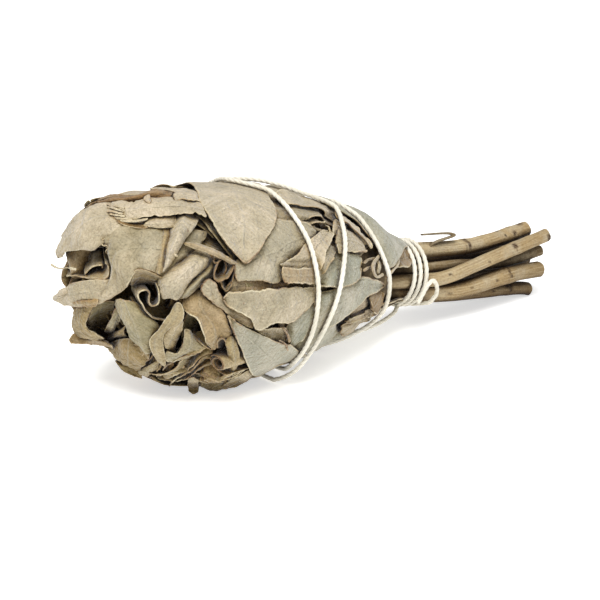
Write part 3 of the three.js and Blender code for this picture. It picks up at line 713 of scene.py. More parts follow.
# rows across each leaf from base to tip, a point on each margin: two numbers are q and phi, three
# are a place of the face plane; tone: 0 green-grey, 0.25 grey, 0.5 beige, 0.75 cream, 1 tan, then
# how brown it has dried
LAID = {
    "triangle": dict(rows=[
        [[60, -44], [40, -46]], [[59, -22], [42, -22]], [[34.9, 1.2, 1], [52.3, 3.2, 0.3]],
        [[36, 4.6, 1], [53.6, 6.2, 0.3]], [[37.5, 6.6, 1], [53.8, 8.8, 0.3]],
        [[38.9, 9, 1], [53.1, 11.4, 0.3]], [[40.5, 12.5, 1], [51.4, 13.9, 0.5]],
        [[42.6, 15.7, 1], [50.2, 15.9, 0.6]], [[45, 18, 1], [48.9, 17.8, 0.8]],
        [[46.7, 19.4, 1], [47.4, 19.3, 0.9]]],
        tone=(0.68, 0), base=-0.2, tip=0.9, edge=0.3, curl=0.4, ends=0.3, worn=0.03),
    "gold_low": dict(rows=[
        [[63.2, 20.3, 0.3], [63.2, 24.4, 0.3]], [[60.4, 20.5, 0.6], [60.4, 24.2, 0.6]],
        [[57.6, 20.5, 0.8], [57.8, 24.1, 0.8]], [[55.2, 20.2, 0.8], [55.8, 24, 0.8]]],
        tone=(0.9, 0.25), base=0, tip=0.7, edge=0.1, curl=0.2, ends=0.5),
    "gold_top": dict(rows=[
        [[65.2, 11.3, 0.3], [67.6, 12.4, 0.3]], [[62.6, 13.2, 0.3], [66.6, 14.6, 0.3]],
        [[60.6, 15.2, 0.4], [65.3, 17, 0.3]], [[58.6, 17.5, 0.5], [64.8, 19.6, 0.3]],
        [[56.6, 18.9, 0.6], [63.6, 21.6, 0.3]], [[55, 19.4, 0.6], [58, 22.6, 0.4]]],
        tone=(0.78, 0.1), base=-0.1, tip=0.5, edge=0.3, curl=0.4, ends=0.6),
    "by_tie": dict(rows=[
        [[-1, -26], [85.8, 15.8, 0.5]], [[3, -28], [84.4, 15.4, 0.5]], [[8, -30], [82.4, 18, 0.5]],
        [[13, -28], [80.8, 20.4, 0.5]], [[17, -24], [79.6, 19.6, 0.5]], [[21, -18], [78.4, 16, 0.5]],
        [[25, -10], [76, 12.6, 0.5]], [[29, -2], [73, 9.4, 0.5]], [[32, 2], [70.2, 7.2, 0.5]]],
        tone=(0.1, 0), base=0.2, tip=-0.1, hump=2.2, edge=-0.2),
    "tie_chip": dict(rows=[
        [[86.4, 16.2, 0], [86.4, 19.8, 0]], [[84.2, 15.8, 0.4], [84.2, 20.4, 0.2]],
        [[82.3, 17.2, 0.5], [82.2, 20.2, 0.3]]], tone=(0.9, 0.55), base=-0.6, tip=-0.2, curl=0.6),
    "broad_pale": dict(rows=[
        [[64.2, 25.2, 0], [64, 27.6, 0]], [[61.2, 25, 0], [61.8, 29.6, 0]],
        [[57.8, 25, 0.3], [58, 33.2, 0.3]], [[54, 25.3, 0.4], [54, 33.6, 0.5]],
        [[51.6, 25.5, 0.4], [51.6, 34.6, 0.5]], [[49.6, 25.7, 0.4], [49.4, 35, 0.5]],
        [[48, 25.8, 0.4], [48.2, 32.6, 0.5]], [[45.6, 26, 0.4], [45.6, 31, 0.5]],
        [[43.2, 26.2, 0.4], [43.2, 29.9, 0.5]], [[41.6, 26.8, 0.3], [41.8, 28.8, 0.4]]],
        tone=(0.5, 0), base=-0.3, tip=0.5, edge=0.35, curl=0.4, ends=0.6),
    "big_flank": dict(rows=[
        [[62, 176], [50, 150]], [[56, 152], [50, 136]], [[50.4, 46.3, 0.4], [61.5, 41, 0]],
        [[48.7, 45.8, 0.5], [58, 38.9, 0.2]], [[47.4, 43.4, 0.6], [55.6, 38.2, 0.3]],
        [[46.3, 40.8, 0.6], [53, 37.3, 0.3]], [[45.2, 38.2, 0.6], [50, 36, 0.4]],
        [[44, 36, 0.6], [47.2, 34.7, 0.4]], [[43.1, 34, 0.6], [44.9, 33.3, 0.5]],
        [[42.7, 31.8, 0.6], [43.3, 31.9, 0.6]]],
        tone=(0.18, 0), base=-0.6, tip=0.5, edge=0.4, curl=0.6, ends=0.4),
    "slanting": dict(rows=[
        [[49.6, 32.2, 0], [49.4, 35.3, 0]], [[46.6, 30.8, 0], [46.8, 34.1, 0]],
        [[43.6, 29.5, 0], [43.6, 31.9, 0]], [[41.2, 26.6, 0], [40.6, 29.6, 0]],
        [[39.6, 23.8, -0.2], [38, 27.6, -0.2]], [[37.8, 22.8, -0.5], [35.9, 25.4, -0.5]]],
        tone=(0.75, 0.45), tip_tone=(0.5, 0.1), base=-0.5, tip=-0.2, hump=0.3, ends=0.6),
    "mid_pale": dict(rows=[
        [[64.2, 11.6, 0], [62.4, 13.8, 0]], [[61, 9.9, 0], [60.4, 16.6, 0]],
        [[57, 9.4, 0], [57.2, 20, 0]], [[53.6, 9.2, 0], [55.2, 24, 0.2]],
        [[50, 12, 0], [51.8, 23.7, 0.3]], [[47.4, 16, 0], [48.4, 23.5, 0.3]],
        [[44.2, 19.4, 0], [44.4, 23.7, 0.3]]],
        tone=(0.42, 0.02), base=-0.5, tip=0, edge=0.3, ends=0.6),
    # partly painted shade: this leaf is browned darkest at its right end, where it lies in shadow in the
    # gap between the leaves round it; partly its own brown
    "brown_edge_with_painted_shade": dict(rows=[
        [[57.8, 24.2, 0], [57.6, 25.3, 0]], [[54, 23.4, 0], [54, 25.8, 0]],
        [[49.4, 22.8, 0], [49.6, 26, 0]], [[45.2, 22.8, 0], [45.2, 26.4, 0]],
        [[42.6, 24.4, 0], [42.8, 26.6, 0]]], tone=(1, 1), tip_tone=(0.6, 0.2),
        base=-1, tip=-0.5, edge=0.2),
    "grey_patch": dict(rows=[
        [[57, 34.4, 0], [56.6, 38.8, 0]], [[54.2, 34.9, 0], [54.4, 38, 0]],
        [[52, 35, 0], [52, 36.9, 0]], [[50, 34.9, 0], [50.2, 35.8, 0]]],
        tone=(0.4, 0.3), base=-0.9, tip=-0.6),
    "green_mid": dict(rows=[
        [[62.6, 29, 0], [64, 29.8, 0]], [[60.4, 30.8, 0], [62.6, 33, 0]],
        [[58.6, 32.6, 0], [61.4, 35.6, 0]], [[57.4, 35.2, 0], [59.8, 38, 0]],
        [[56.6, 38.4, 0], [57.8, 40, 0]]], tone=(0.04, 0), base=-0.6, tip=-0.3),
    "slip_top": dict(rows=[
        [[77, 15.6, 0.2], [76.2, 15.8, 0]], [[74.4, 11.8, 0.4], [73.6, 12.9, 0]],
        [[72, 9.2, 0.4], [71.2, 10.9, 0]], [[69.8, 7.2, 0.4], [69.4, 9.4, 0]],
        [[67.8, 5.8, 0.4], [67.6, 8.4, 0]]], tone=(0.72, 0.1), base=-0.2, tip=0.1, edge=0.2),
    "slip_pink": dict(rows=[
        [[75.4, 14.2, 0], [75.4, 17, 0]], [[74, 12.5, 0], [74, 16.9, 0]],
        [[72.4, 11.4, 0], [72.4, 16.8, 0]], [[70.6, 11.2, 0], [70.8, 16.8, 0]],
        [[68, 11.6, 0], [68.2, 17.2, 0]]], tone=(0.6, 0.15), base=-0.4, tip=-0.2, edge=0.4),
    "slip_mid": dict(rows=[
        [[75.8, 13.8, 0], [75.2, 15, 0]], [[73, 10.8, 0], [72.6, 12.6, 0]],
        [[71, 9.4, 0], [71, 12.2, 0]], [[67.6, 8.4, 0], [67.6, 12.4, 0]]],
        tone=(0.7, 0.2), base=-0.6, tip=-0.4),
    "side_slip": dict(rows=[
        [[66.8, 14.6, 0], [69.4, 15.4, 0]], [[65.4, 17, 0], [67.8, 17.8, 0]],
        [[64.8, 19.4, 0], [66.4, 20.2, 0]], [[64.4, 22, 0], [64.9, 22.6, 0]]],
        tone=(0.5, 0.15), base=-0.4, tip=-0.1),
    "string_grey": dict(rows=[
        [[74.4, 17, 0], [74.2, 22.9, 0]], [[72, 16.9, 0], [72, 24.2, 0]],
        [[69.4, 15.6, 0], [69.4, 25.2, 0]], [[66.5, 18, 0], [67, 25, 0]],
        [[64, 22, 0], [64.2, 24.6, 0]]], tone=(0.06, 0), base=-0.5, tip=-0.4),
    "long_grey": dict(rows=[
        [[79.6, 24.2, 0], [79.4, 25.2, 0]], [[77.4, 23.3, 0], [77.3, 26.3, 0]],
        [[75.4, 22.6, 0], [75.2, 27.5, 0]], [[73, 23.2, 0], [73.4, 29.3, 0]],
        [[70.4, 24.4, 0], [71, 31.3, 0]], [[67.6, 25.7, 0], [68.4, 33, 0]],
        [[65, 27, 0], [65.6, 34.8, 0]], [[62.8, 28.8, 0], [63, 36.8, 0]],
        [[60.6, 32, 0], [60.8, 39.4, 0]], [[58.6, 37, 0], [58.6, 41.2, 0]],
        [[56.4, 40.4, 0], [56.6, 42.4, 0]]], tone=(0.12, 0), base=-0.3, tip=-0.2, edge=0.3),
    "strip_top": dict(rows=[
        [[69.8, 6.6, 0], [69.6, 9, 0]], [[67, 5.2, 0.2], [67.2, 8, 0]],
        [[63.6, 4.2, 0.4], [63.6, 6.7, 0.2]], [[60, 3.3, 0.4], [60, 6, 0.2]],
        [[56.6, 2.7, 0.4], [56.8, 5.6, 0.2]], [[53.6, 2.2, 0.2], [54.2, 5, 0]]],
        tone=(0.7, 0.12), base=-0.1, tip=0, edge=0.4, curl=0.6),
    "strip_low": dict(rows=[
        [[69.8, 8.4, 0], [69.8, 11.2, 0]], [[67, 6.8, 0], [67.2, 8.9, 0]],
        [[64.4, 5.6, 0], [64.4, 8.3, 0]], [[61, 4.9, 0], [61.2, 8.8, 0]],
        [[57.6, 4.5, 0], [58, 9.2, 0]], [[54.6, 4.2, 0], [55, 9.1, 0]],
        [[52.4, 4.4, 0], [52.6, 9, 0]]],
        tone=(0.55, 0.2), base=-0.3, tip=-0.2, edge=0.3, curl=0.5),
    "strip_edge": dict(rows=[
        [[68.8, 12.6, 0], [67.4, 11.6, 0]], [[68, 9.4, 0], [66.9, 10, 0]],
        [[64.8, 8.4, 0], [64.4, 9.4, 0]], [[61.8, 8.7, 0], [61.8, 9.6, 0]],
        [[59.2, 9.4, 0], [59.4, 10, 0]]], tone=(0.8, 0.1), base=0, tip=0.1, edge=0.3),
    "strip_under": dict(rows=[
        [[68.6, 13.6, 0], [66.6, 12.6, 0]], [[67, 9.8, 0], [65.8, 11, 0]],
        [[64.2, 9.3, 0], [63.4, 10.6, 0]], [[61, 9.6, 0], [60.6, 10.8, 0]]],
        tone=(0.6, 0.2), base=-0.5, tip=-0.3, edge=0.2),
    "gold_chip": dict(rows=[
        [[67.4, 11.6, 0], [68.4, 13.8, 0]], [[66, 13.4, 0], [67, 15.4, 0]],
        [[65.2, 15.6, 0], [65.8, 16.8, 0]]], tone=(0.85, 0.35), base=-0.2, tip=0.2, curl=0.7, waves=0.5),
    "crumb_top": dict(rows=[
        [[79, 25.2, 0], [79.3, 27.4, 0]], [[77.8, 25.8, 0], [78.7, 29.2, 0]],
        [[76.4, 27.4, 0], [77.9, 30.8, 0]], [[75.8, 29.4, 0], [76.6, 31.2, 0]]],
        tone=(0.9, 0.6), base=-0.6, tip=-0.3, waves=0.5, curl=0.9, worn=0.25),
    "crumb_strip": dict(rows=[
        [[78, 30.2, 0], [78.2, 31.6, 0]], [[75, 31, 0], [75.2, 32.2, 0]],
        [[72.2, 32, 0], [72.4, 33.1, 0]], [[70.4, 33, 0], [70.6, 33.7, 0]]],
        tone=(0.8, 0.3), base=-0.5, tip=-0.2, curl=0.6, worn=0.2),
    "crumb_low": dict(rows=[
        [[76.2, 32.3, 0], [76.4, 33.1, 0]], [[73.2, 33, 0], [73.4, 34, 0]],
        [[70.8, 34, 0], [71.2, 35.4, 0]], [[68.8, 35.4, 0], [69.4, 36.6, 0]]],
        tone=(0.6, 0.3), base=-0.6, tip=-0.3, curl=0.6, worn=0.2),
    "crumb_mid": dict(rows=[
        [[76.2, 27.2, 0], [76.2, 30.2, 0]], [[73.8, 28.8, 0], [74.2, 31.4, 0]],
        [[71.2, 30.6, 0], [71.8, 32.4, 0]]],
        tone=(0.7, 0.5), base=-1.1, tip=-0.8, waves=0.5, curl=0.8, worn=0.2),
    "crumpled": dict(rows=[
        [[79.2, 25.6, 0], [79.4, 29.8, 0]], [[77.4, 26.4, 0], [77.6, 31.2, 0]],
        [[75.4, 27.6, 0], [75.4, 32.2, 0]], [[73, 29.4, 0], [73.4, 33.4, 0]],
        [[70.2, 31.2, 0], [70.6, 35.4, 0]]], tone=(1, 1), base=-2, tip=-1.6, waves=0.7, curl=0.8),
    "low_curl": dict(rows=[
        [[72, 32.4, 0], [72.2, 34.8, 0]], [[69.6, 32.4, 0], [70, 36, 0]],
        [[67, 33.6, 0], [67.8, 37.4, 0]], [[64.6, 35.4, 0], [65.6, 38.8, 0]],
        [[61.6, 38, 0], [62, 40.8, 0]], [[59.4, 40.6, 0], [59.6, 41.8, 0]]],
        tone=(0.15, 0), base=-0.8, tip=-0.5, waves=0.3, curl=0.5),
    "under_flank": dict(rows=[
        [[27, 110], [28.5, 119]], [[36.5, 106], [41, 123]], [[44, 113], [47.5, 131]],
        [[50.5, 119], [47.5, 146]]], tone=(0.1, 0), base=-0.9, tip=-0.5),
}
# seeded leaves, which show on the far side, underneath and in the gaps: two rows round the head,
# short feet by the tie, and a bed of long ones beneath them all
FILL_ROWS = (dict(tip=86, long=46, base=-2.2, end=-1.2), dict(tip=62, long=48, base=-1.4, end=-0.6))
FILL_EACH = 7
FILL_FROM, FILL_STEP, FILL_SHIFT = 138, 36, 17    # degrees round the head
FILL_TIP_MOST = 76
NEAR_SIDE, FAR_SIDE = 135, 250                    # where they end sooner, and where they lie higher
FEET = 7
FEET_FROM, FEET_OVER = 125, 235
FOOT_ALONG = (1.4, 10, 24)                        # q of a foot's root, middle and least tip
BED = 12
BED_LONG = 36
BED_TIP = 52


def facing(phi, side, least, most):
    """1 where phi is near this side of the head, 0 away from it."""
    return float(smooth(math.cos(math.radians(phi - side)), least, most))


def lay_leaves(leaf):
    """All leaves that lie round the head, the outermost first."""
    outer, lower = Pile(), Pile()
    for key, row in enumerate(LAID.values()):
        row = dict(row)
        left, right = margins(row.pop("rows"), 60)
        lying_leaf(outer, left, right, key=200 + 10 * key, **row)
    for k in reversed(range(len(FILL_ROWS) * FILL_EACH)):
        level, row = k // FILL_EACH, FILL_ROWS[k // FILL_EACH]
        phi = FILL_FROM + FILL_STEP * (k % FILL_EACH) + level * FILL_SHIFT + 12 * (draw(k, 1) - 0.5)
        tip = row["tip"] + 8 * (draw(k, 2) - 0.5) - 24 * facing(phi, NEAR_SIDE, 0.7, 0.9)
        tip = min(tip, FILL_TIP_MOST)
        turn = 26 * (draw(k, 3) - 0.5)
        far = facing(phi, FAR_SIDE, -0.2, 0.5)
        rib = [[tip - row["long"], phi - turn], [tip - row["long"] / 2, phi], [tip, phi + turn]]
        lying_leaf(lower, *rib_margins(rib, 7 + 2.5 * draw(k, 4), 0.55, 48),
                   (draw(k, 31), 0.3 * draw(k, 32) ** 2), 500 + 10 * k,
                   base=row["base"] + far, tip=row["end"] + far + 0.9 * draw(k, 5),
                   edge=0.8 * draw(k, 6), curl=0.9 * draw(k, 33), waves=0.4, worn=0.35)
    for k in range(FEET):
        phi = FEET_FROM + FEET_OVER / FEET * (k + 0.6 * draw(k, 21))
        root, middle, tip = FOOT_ALONG
        rib = [[root, phi], [middle, phi + 8 * (draw(k, 22) - 0.5)], [tip + 8 * draw(k, 23), phi]]
        lying_leaf(lower, *rib_margins(rib, 2.6 + 1.6 * draw(k, 24), 0.4, 36),
                   (draw(k, 34), 0.4 * draw(k, 35)), 700 + 10 * k, base=-0.1, tip=-1, nv=16)
    for k in range(BED):
        phi = 360 / BED * (k + 0.5 * draw(k, 25))
        tip = BED_TIP + 25 * draw(k, 26)
        rib = [[tip - BED_LONG, phi - 8], [tip - BED_LONG / 2, phi + 8], [tip, phi]]
        lying_leaf(lower, *rib_margins(rib, 6 + 2 * draw(k, 27), 0.5, 40),
                   (draw(k, 36), 0.3 * draw(k, 37)), 800 + 10 * k, base=-2.6, tip=-1.4, nv=20)
    outer.make("outer_leaves", leaf, "dried_leaf", "leaves")
    lower.make("lower_leaves", leaf, "dried_leaf", "leaves")


# ---- leaves in the end of the head ----
# Each is drawn as it shows from the camera: rows of points along the leaf, each point as mm to the
# right and mm down from the corner of the face plane, then mm above the skin of the head.
# olive: how olive and how much darker a leaf is, partly the green that leaves inside the head kept, partly
# painted shade low on the end of the head and deep in it
FOLDED = {
    "ridge": dict(tone=(1, 1), round_back=-24, ragged=0.5, creases=0.3, net=[
        [[12.4, 4.8, 0.5], [12.3, 5.1, 0.6], [12.5, 5.6, 0.3]],
        [[16, 3.7, 1], [16, 4.4, 1.1], [16, 5.4, 0.5]],
        [[18, 3.8, 1], [18, 4.4, 1.1], [18, 5.4, 0.5]],
        [[20.5, 3.7, 1.2], [20.5, 4.2, 1.3], [20.5, 5.2, 0.5]],
        [[24.5, 2.9, 1.4], [24.5, 3.6, 1.5], [24.5, 4.8, 0.5]],
        [[27, 2.7, 1.4], [27, 3.4, 1.5], [27, 4.6, 0.5]],
        [[29.8, 2.8, 1], [29.8, 3.4, 1], [29.8, 4.6, 0.4]],
    ]),
    "roof": dict(tone=(0.78, 0.12), ragged=0.5, net=[
        [[15.2, 5.2, 0.7], [15.4, 6.2, 0.8], [16, 7.4, 0.7], [17.2, 8.2, 0.5]],
        [[17.6, 4.9, 0.9], [17.8, 6.2, 1.2], [18, 7.6, 1.1], [18.4, 8.8, 0.8]],
        [[20.5, 4.7, 1.1], [20.5, 6.2, 1.5], [20.5, 7.8, 1.4], [20.8, 9.2, 1.1]],
        [[24.4, 4.1, 1.2], [24.4, 5.6, 1.6], [24.4, 7.2, 1.5], [24.4, 8.6, 1.3]],
        [[29.6, 4, 1.2], [29.4, 5.4, 1.6], [29.2, 6.8, 1.5], [28.8, 8.4, 1.3]],
        [[33, 4.4, 1], [33, 5.6, 1.3], [33, 6.8, 1.2], [33, 7.9, 1.1]],
        [[36.4, 5.6, 0.2], [36.8, 6.6, 0.3], [37.4, 7.6, 0.3], [38.4, 9, 0.3]],
    ]),
    "roof_top": dict(tone=(0.8, 0.1), ragged=0.4, round_back=-20, net=[
        [[29.8, 2.7, 1.1], [29.8, 3.8, 1.5], [30, 5, 1.7]],
        [[31.6, 2.5, 1.1], [31.6, 3.4, 1.6], [31.8, 4.5, 1.8]],
        [[34, 2.5, 0.8], [34, 3.6, 1.3], [34, 4.8, 1.5]],
        [[36, 3, 0.1], [36.2, 4.2, 0.2], [36.6, 5.4, 0.3]],
    ]),
    "roof_slip": dict(tone=(0.8, 0.1), net=[
        [[22.6, 10.6, 0.2], [23.4, 10, 0.5], [24.2, 9.2, 0.3]],
        [[25.2, 11, 0.4], [25.6, 10, 0.8], [26, 8.8, 0.4]],
        [[28, 11.2, 0.4], [28.2, 10, 0.8], [28.4, 8.6, 0.4]],
        [[30.4, 11, 0], [30.6, 9.8, 0.3], [30.8, 8.4, 0]],
    ]),
    "roof_tab": dict(tone=(0.9, 0.1), ragged=0.3, net=[
        [[24.4, 3.3, 1.7], [23.7, 3.6, 1.9], [22.9, 4, 1.7]],
        [[24.6, 4.2, 1.8], [23.9, 4.4, 2], [23.2, 4.9, 1.8]],
        [[25, 5.2, 1.7], [24.5, 5.5, 1.8], [24.1, 5.6, 1.7]],
    ]),
    "hood": dict(tone=(0.75, 0), tip_tone=(0.8, 0.15), round_back=-30, creases=0.36, net=[
        [[26, 7.4, -0.6], [26, 9.4, -0.5], [26, 10.6, -0.7], [26, 13, -1.4]],
        [[20.4, 7, -0.2], [20, 9.6, -0.5], [20, 11, -0.3], [19.6, 13.6, -0.8]],
        [[15.8, 5.6, 0.4], [16, 8.6, 0.5], [16, 11, 1], [15.4, 14, -0.2]],
        [[11.8, 5.6, 0.8], [12.4, 8.8, 1.1], [12.8, 12, 1.1], [13.2, 15.1, 0.5]],
        [[8.9, 7.4, 0.9], [9.4, 10.2, 1.8], [10, 13.4, 2], [11.2, 16.5, 1.2]],
        [[6.1, 10, 0.8], [6.6, 12.2, 1.7], [7.6, 14.4, 2], [8.6, 16.3, 1.5]],
        [[4.3, 13, 0.6], [4.8, 14.2, 1], [5.6, 15.4, 1.3], [6.4, 16.5, 1.4]],
        [[3.3, 15.6, 0.5], [3.7, 16.2, 0.8], [4.3, 16.6, 1], [4.9, 16.8, 1.1]],
        [[2.9, 17, 0.5], [3.2, 17.2, 0.6], [3.8, 17.2, 0.8], [4.6, 17.1, 0.8]],
        [[3.2, 18.1, 0.4], [3.5, 18.2, 0.4], [3.9, 18, 0.5], [4.4, 17.5, 0.6]],
    ]),
    "wide_grey": dict(tone=(0.34, 0), tip_tone=(0.7, 0.12), olive_and_shade=0.2, ragged=0.35, creases=0.3, net=[
        [[38.6, 12.3, -3.4], [36.6, 14.6, -3.2], [34.6, 17.2, -3.2], [32, 20.4, -3.6]],
        [[34, 11.2, -1.8], [33.4, 14.8, -1.7], [32, 18.4, -1.6], [30, 22.2, -2.2]],
        [[29.4, 10.6, -1], [29.4, 14.4, -0.6], [28.8, 18.4, -0.4], [28.4, 23.2, -1.1]],
        [[25, 10.6, -0.5], [25, 14, 0.6], [25, 17.6, 0.9], [25.2, 21.6, 0.1]],
        [[20.5, 10.4, -0.4], [20.8, 14, -0.3], [21, 17.5, -0.1], [22.6, 20.8, 0.2]],
        [[16.4, 10.8, 0.4], [17.2, 14.8, 1.3], [18, 18.8, 1.5], [20.6, 22.2, 0.8]],
        [[13.8, 13.7, 0.5], [15.4, 16.8, 1], [16.8, 20.4, 1.1], [19.8, 24.6, 0]],
        [[15.7, 18.6, -0.8], [15.8, 20.9, 0.1], [16.4, 23.2, 0.2], [17.6, 26.2, -0.6]],
        [[15.6, 22.6, -0.5], [14.7, 24, 0.2], [14.2, 26, 0.2], [14.8, 28, -0.5]],
        [[11.8, 23.2, 0.2], [11.6, 25, 0.6], [11.8, 27, 0.5], [12.6, 29, -0.1]],
        [[9.6, 23.4, 0.3], [9.2, 25.2, 1], [9, 27.2, 1.3], [9.8, 29.5, 0.8]],
        [[6.8, 23.8, 0.6], [6.4, 25.6, 1], [6.2, 27.5, 1.2], [6.6, 29.6, 0.8]],
        [[4, 25.4, 0.8], [3.5, 26.7, 1], [3.5, 27.8, 1], [4.2, 29.2, 0.9]],
        [[1.7, 27.1, 0.8], [1.7, 27.4, 0.8], [1.8, 27.7, 0.8], [1.9, 28, 0.8]],
    ]),
    # painted shade: a dark brown-olive leaf put in the hollow under the hood's top strip, where there is
    # shadow
    "hood_hollow_painted_shade": dict(tone=(0.95, 0.75), olive_and_shade=1, ragged=0.4, net=[
        [[24.4, 9.6, 0.05], [24.4, 10.6, 0.1], [24, 11.4, -0.1]],
        [[20.6, 9.6, -0.1], [20.4, 10.4, 0.1], [20.2, 11.2, 0]],
        [[17.6, 8.6, 0.45], [17.6, 9.5, 0.75], [17.8, 10.3, 0.85]],
        [[15.4, 7.6, 0.6], [15.4, 8.2, 0.7], [15.6, 8.8, 0.75]],
    ]),
    "lobe_patch": dict(tone=(0.9, 0.4), olive_and_shade=0.9, ragged=0.4, creases=0.3, net=[
        [[12.6, 27.6, 0.5], [12.4, 28.6, 0.6], [11.8, 29.7, 0.5]],
        [[10.2, 27.8, 1.2], [10, 28.6, 1.3], [10, 29.7, 1.1]],
        [[6.4, 28.5, 1.2], [6.6, 28.9, 1.4], [7.2, 29.5, 1.1]],
    ]),
    "hood_lining": dict(tone=(0.8, 0.5), olive_and_shade=0.3, ragged=0.3, net=[
        [[4.6, 16.2, -0.6], [7.5, 16, -1.4], [11.2, 15.6, -3.6]],
        [[5.2, 18.6, -0.4], [7.4, 18.6, -1.2], [10.2, 18.6, -3.8]],
        [[5.9, 21, -0.4], [7.6, 21, -1.2], [9.6, 21.2, -3.4]],
        [[6.2, 22.8, -0.6], [7.6, 23, -1.2], [9.2, 23.2, -2.4]],
    ]),
    "pocket_wall": dict(tone=(0.6, 0.25), olive_and_shade=1, net=[
        [[11.8, 29, -1.2], [9, 29.4, -0.6], [6.6, 30, -0.4]],
        [[10.4, 31.2, -0.6], [8.6, 31.4, 0], [6.6, 31.6, 0]],
        [[9.7, 33.2, 0], [8.2, 33.4, 0.4], [6.1, 33.4, 0.2]],
        [[10, 34.9, 0.2], [8.4, 35.2, 0.5], [6.6, 34.8, 0.3]],
        [[11.6, 35.8, 0.1], [9.8, 36.2, 0.3], [8, 36.6, 0.2]],
        [[14, 37, -0.4], [13.2, 37.3, -0.3], [12.4, 37.4, -0.3]],
    ]),
    "pocket_back": dict(tone=(0.1, 0.25), olive_and_shade=1, net=[
        [[11.6, 28.6, -2.4], [13.6, 28.2, -4], [16.4, 28, -6]],
        [[10.2, 32, -1.6], [12.6, 31.6, -4.6], [16, 31.6, -7.4]],
        [[10.4, 34.8, -1.4], [12.8, 35.2, -4.6], [15.6, 35.8, -7.6]],
        [[12.6, 36.6, -1.2], [14.6, 37, -3.8], [17, 37.4, -6.6]],
    ]),
    "pocket_slip": dict(tone=(0.3, 0), olive_and_shade=0.6, net=[
        [[16.4, 29.6, -1.4], [17.2, 30.4, -2.2], [17.8, 32, -3.4]],
        [[15.6, 31.8, -1.8], [16.4, 32.4, -2.6], [17.2, 33.4, -4.2]],
        [[14.8, 33.6, -2.2], [15.7, 34, -3], [16.4, 34.6, -4.8]],
        [[13.8, 35.3, -2.8], [14.8, 35.6, -3.6], [15.6, 36, -5.2]],
    ]),
    "low_slip": dict(tone=(0.5, 0.3), olive_and_shade=1, net=[
        [[19.2, 33.8, -3.4], [18.4, 35.4, -3], [19.6, 36.6, -4.6]],
        [[17.4, 35, -3.8], [16.6, 36.2, -3.2], [17.6, 37.4, -5]],
        [[15, 36, -4], [14.4, 36.8, -3.6], [15, 37.8, -5]],
    ]),
    "pocket_lip": dict(tone=(0.9, 0.4), olive_and_shade=0.6, net=[
        [[16.4, 39.4, -1.6], [15.6, 38.6, -0.8], [15, 38, -1.4]],
        [[13.4, 38.5, -1], [13.2, 37.6, -0.1], [12.6, 37, -1.2]],
        [[10.4, 38.3, -0.6], [10.2, 37.4, 0.2], [10, 36.5, -0.8]],
        [[8, 38.3, -0.1], [7.8, 37.4, 0.5], [7.8, 36.4, 0.2]],
        [[6.2, 38.1, 0.2], [6.2, 37.2, 0.6], [6.8, 36, 0.4]],
        [[5.5, 37.5, 0.4], [5.5, 37.3, 0.4], [5.6, 37.1, 0.4]],
    ]),
    "low_left": dict(tone=(0.5, 0.35), olive_and_shade=1, ragged=0.4, creases=0.3, net=[
        [[14.6, 38, -2.6], [18, 37, -3], [21.4, 37.2, -2.6], [24, 38.4, -2.2]],
        [[14.8, 39.4, -1.4], [18, 39, -1.2], [21.4, 39.2, -1], [24.6, 40.4, -0.9]],
        [[15.6, 40.8, -0.8], [18.2, 41, -0.2], [21, 41.2, -0.1], [24.3, 41.8, -0.4]],
        [[17.4, 42.2, -0.6], [18.8, 42.6, 0.1], [20.6, 42.8, 0.3], [23.2, 43.2, 0]],
        [[18.2, 42.9, -0.4], [19.4, 43.6, 0.1], [20.6, 43.9, 0.2], [21.9, 44.4, 0.1]],
    ]),
    "low_left_under": dict(tone=(0.45, 0.25), olive_and_shade=1, net=[
        [[16, 41.6, -2], [19.4, 42.6, -1.6], [23.4, 43.4, -1.8]],
        [[17, 43, -1], [19.8, 43.8, -0.6], [23, 44.6, -0.8]],
        [[18.4, 44.6, -0.4], [20.4, 45, -0.1], [22.6, 45.6, -0.2]],
        [[20.8, 45.7, -0.1], [21.6, 46.1, 0], [22.8, 46.4, 0]],
    ]),
    "low_strip": dict(tone=(0.45, 0), olive_and_shade=0.7, net=[
        [[26.4, 41.8, -0.8], [26.6, 42.6, -0.5], [26.4, 43.6, -0.8]],
        [[24.4, 43.1, -0.3], [24.8, 44, 0.1], [25.2, 44.8, -0.3]],
        [[22.4, 44.2, -0.2], [23, 44.9, 0.2], [24, 45.7, -0.1]],
        [[21.7, 44.9, -0.1], [21.9, 45.2, 0], [22.4, 45.5, -0.1]],
    ]),
    "scoop": dict(tone=(0.2, 0), olive_and_shade=0.8, net=[
        [[16, 28.6, -2.6], [17, 27.6, -0.8], [18.6, 28, 0], [20.4, 28.2, -0.4], [22.4, 28.8, -1.6]],
        [[17.2, 30.6, -2], [17.8, 29.6, -0.2], [19.6, 30.2, 0.8], [21.8, 30.8, 0.4], [24, 31.6, -1.2]],
        [[18.3, 32.8, -1.4], [18.4, 32.2, 0], [20.6, 32.6, 1.1], [23.2, 33, 0.7], [26.4, 33.6, -1]],
        [[19.4, 35.2, -1], [19.4, 34.8, 0.1], [21.8, 35.2, 1.1], [24.2, 35.2, 0.6], [26.4, 35.6, -1]],
        [[20.2, 37, -0.8], [20.4, 36.8, 0.1], [22.4, 37.4, 0.9], [24, 37.6, 0.4], [25.4, 38, -0.8]],
        [[22, 38.8, -0.6], [22.2, 38.8, 0], [23.2, 39.4, 0.5], [24.2, 39.6, 0.2], [25, 39.6, -0.6]],
        [[23.2, 40.2, -0.6], [23.4, 40.3, -0.3], [23.8, 40.5, -0.1], [24.2, 40.6, -0.2],
         [24.6, 40.5, -0.5]],
    ]),
    "spoon": dict(tone=(0.6, 0.12), olive_and_shade=0.7, net=[
        [[30.4, 28.8, -0.2], [31, 28.5, 0.2], [31.8, 28.8, -0.2]],
        [[29.2, 31, 0.7], [30.6, 31, 1], [32.5, 31, 0.4]],
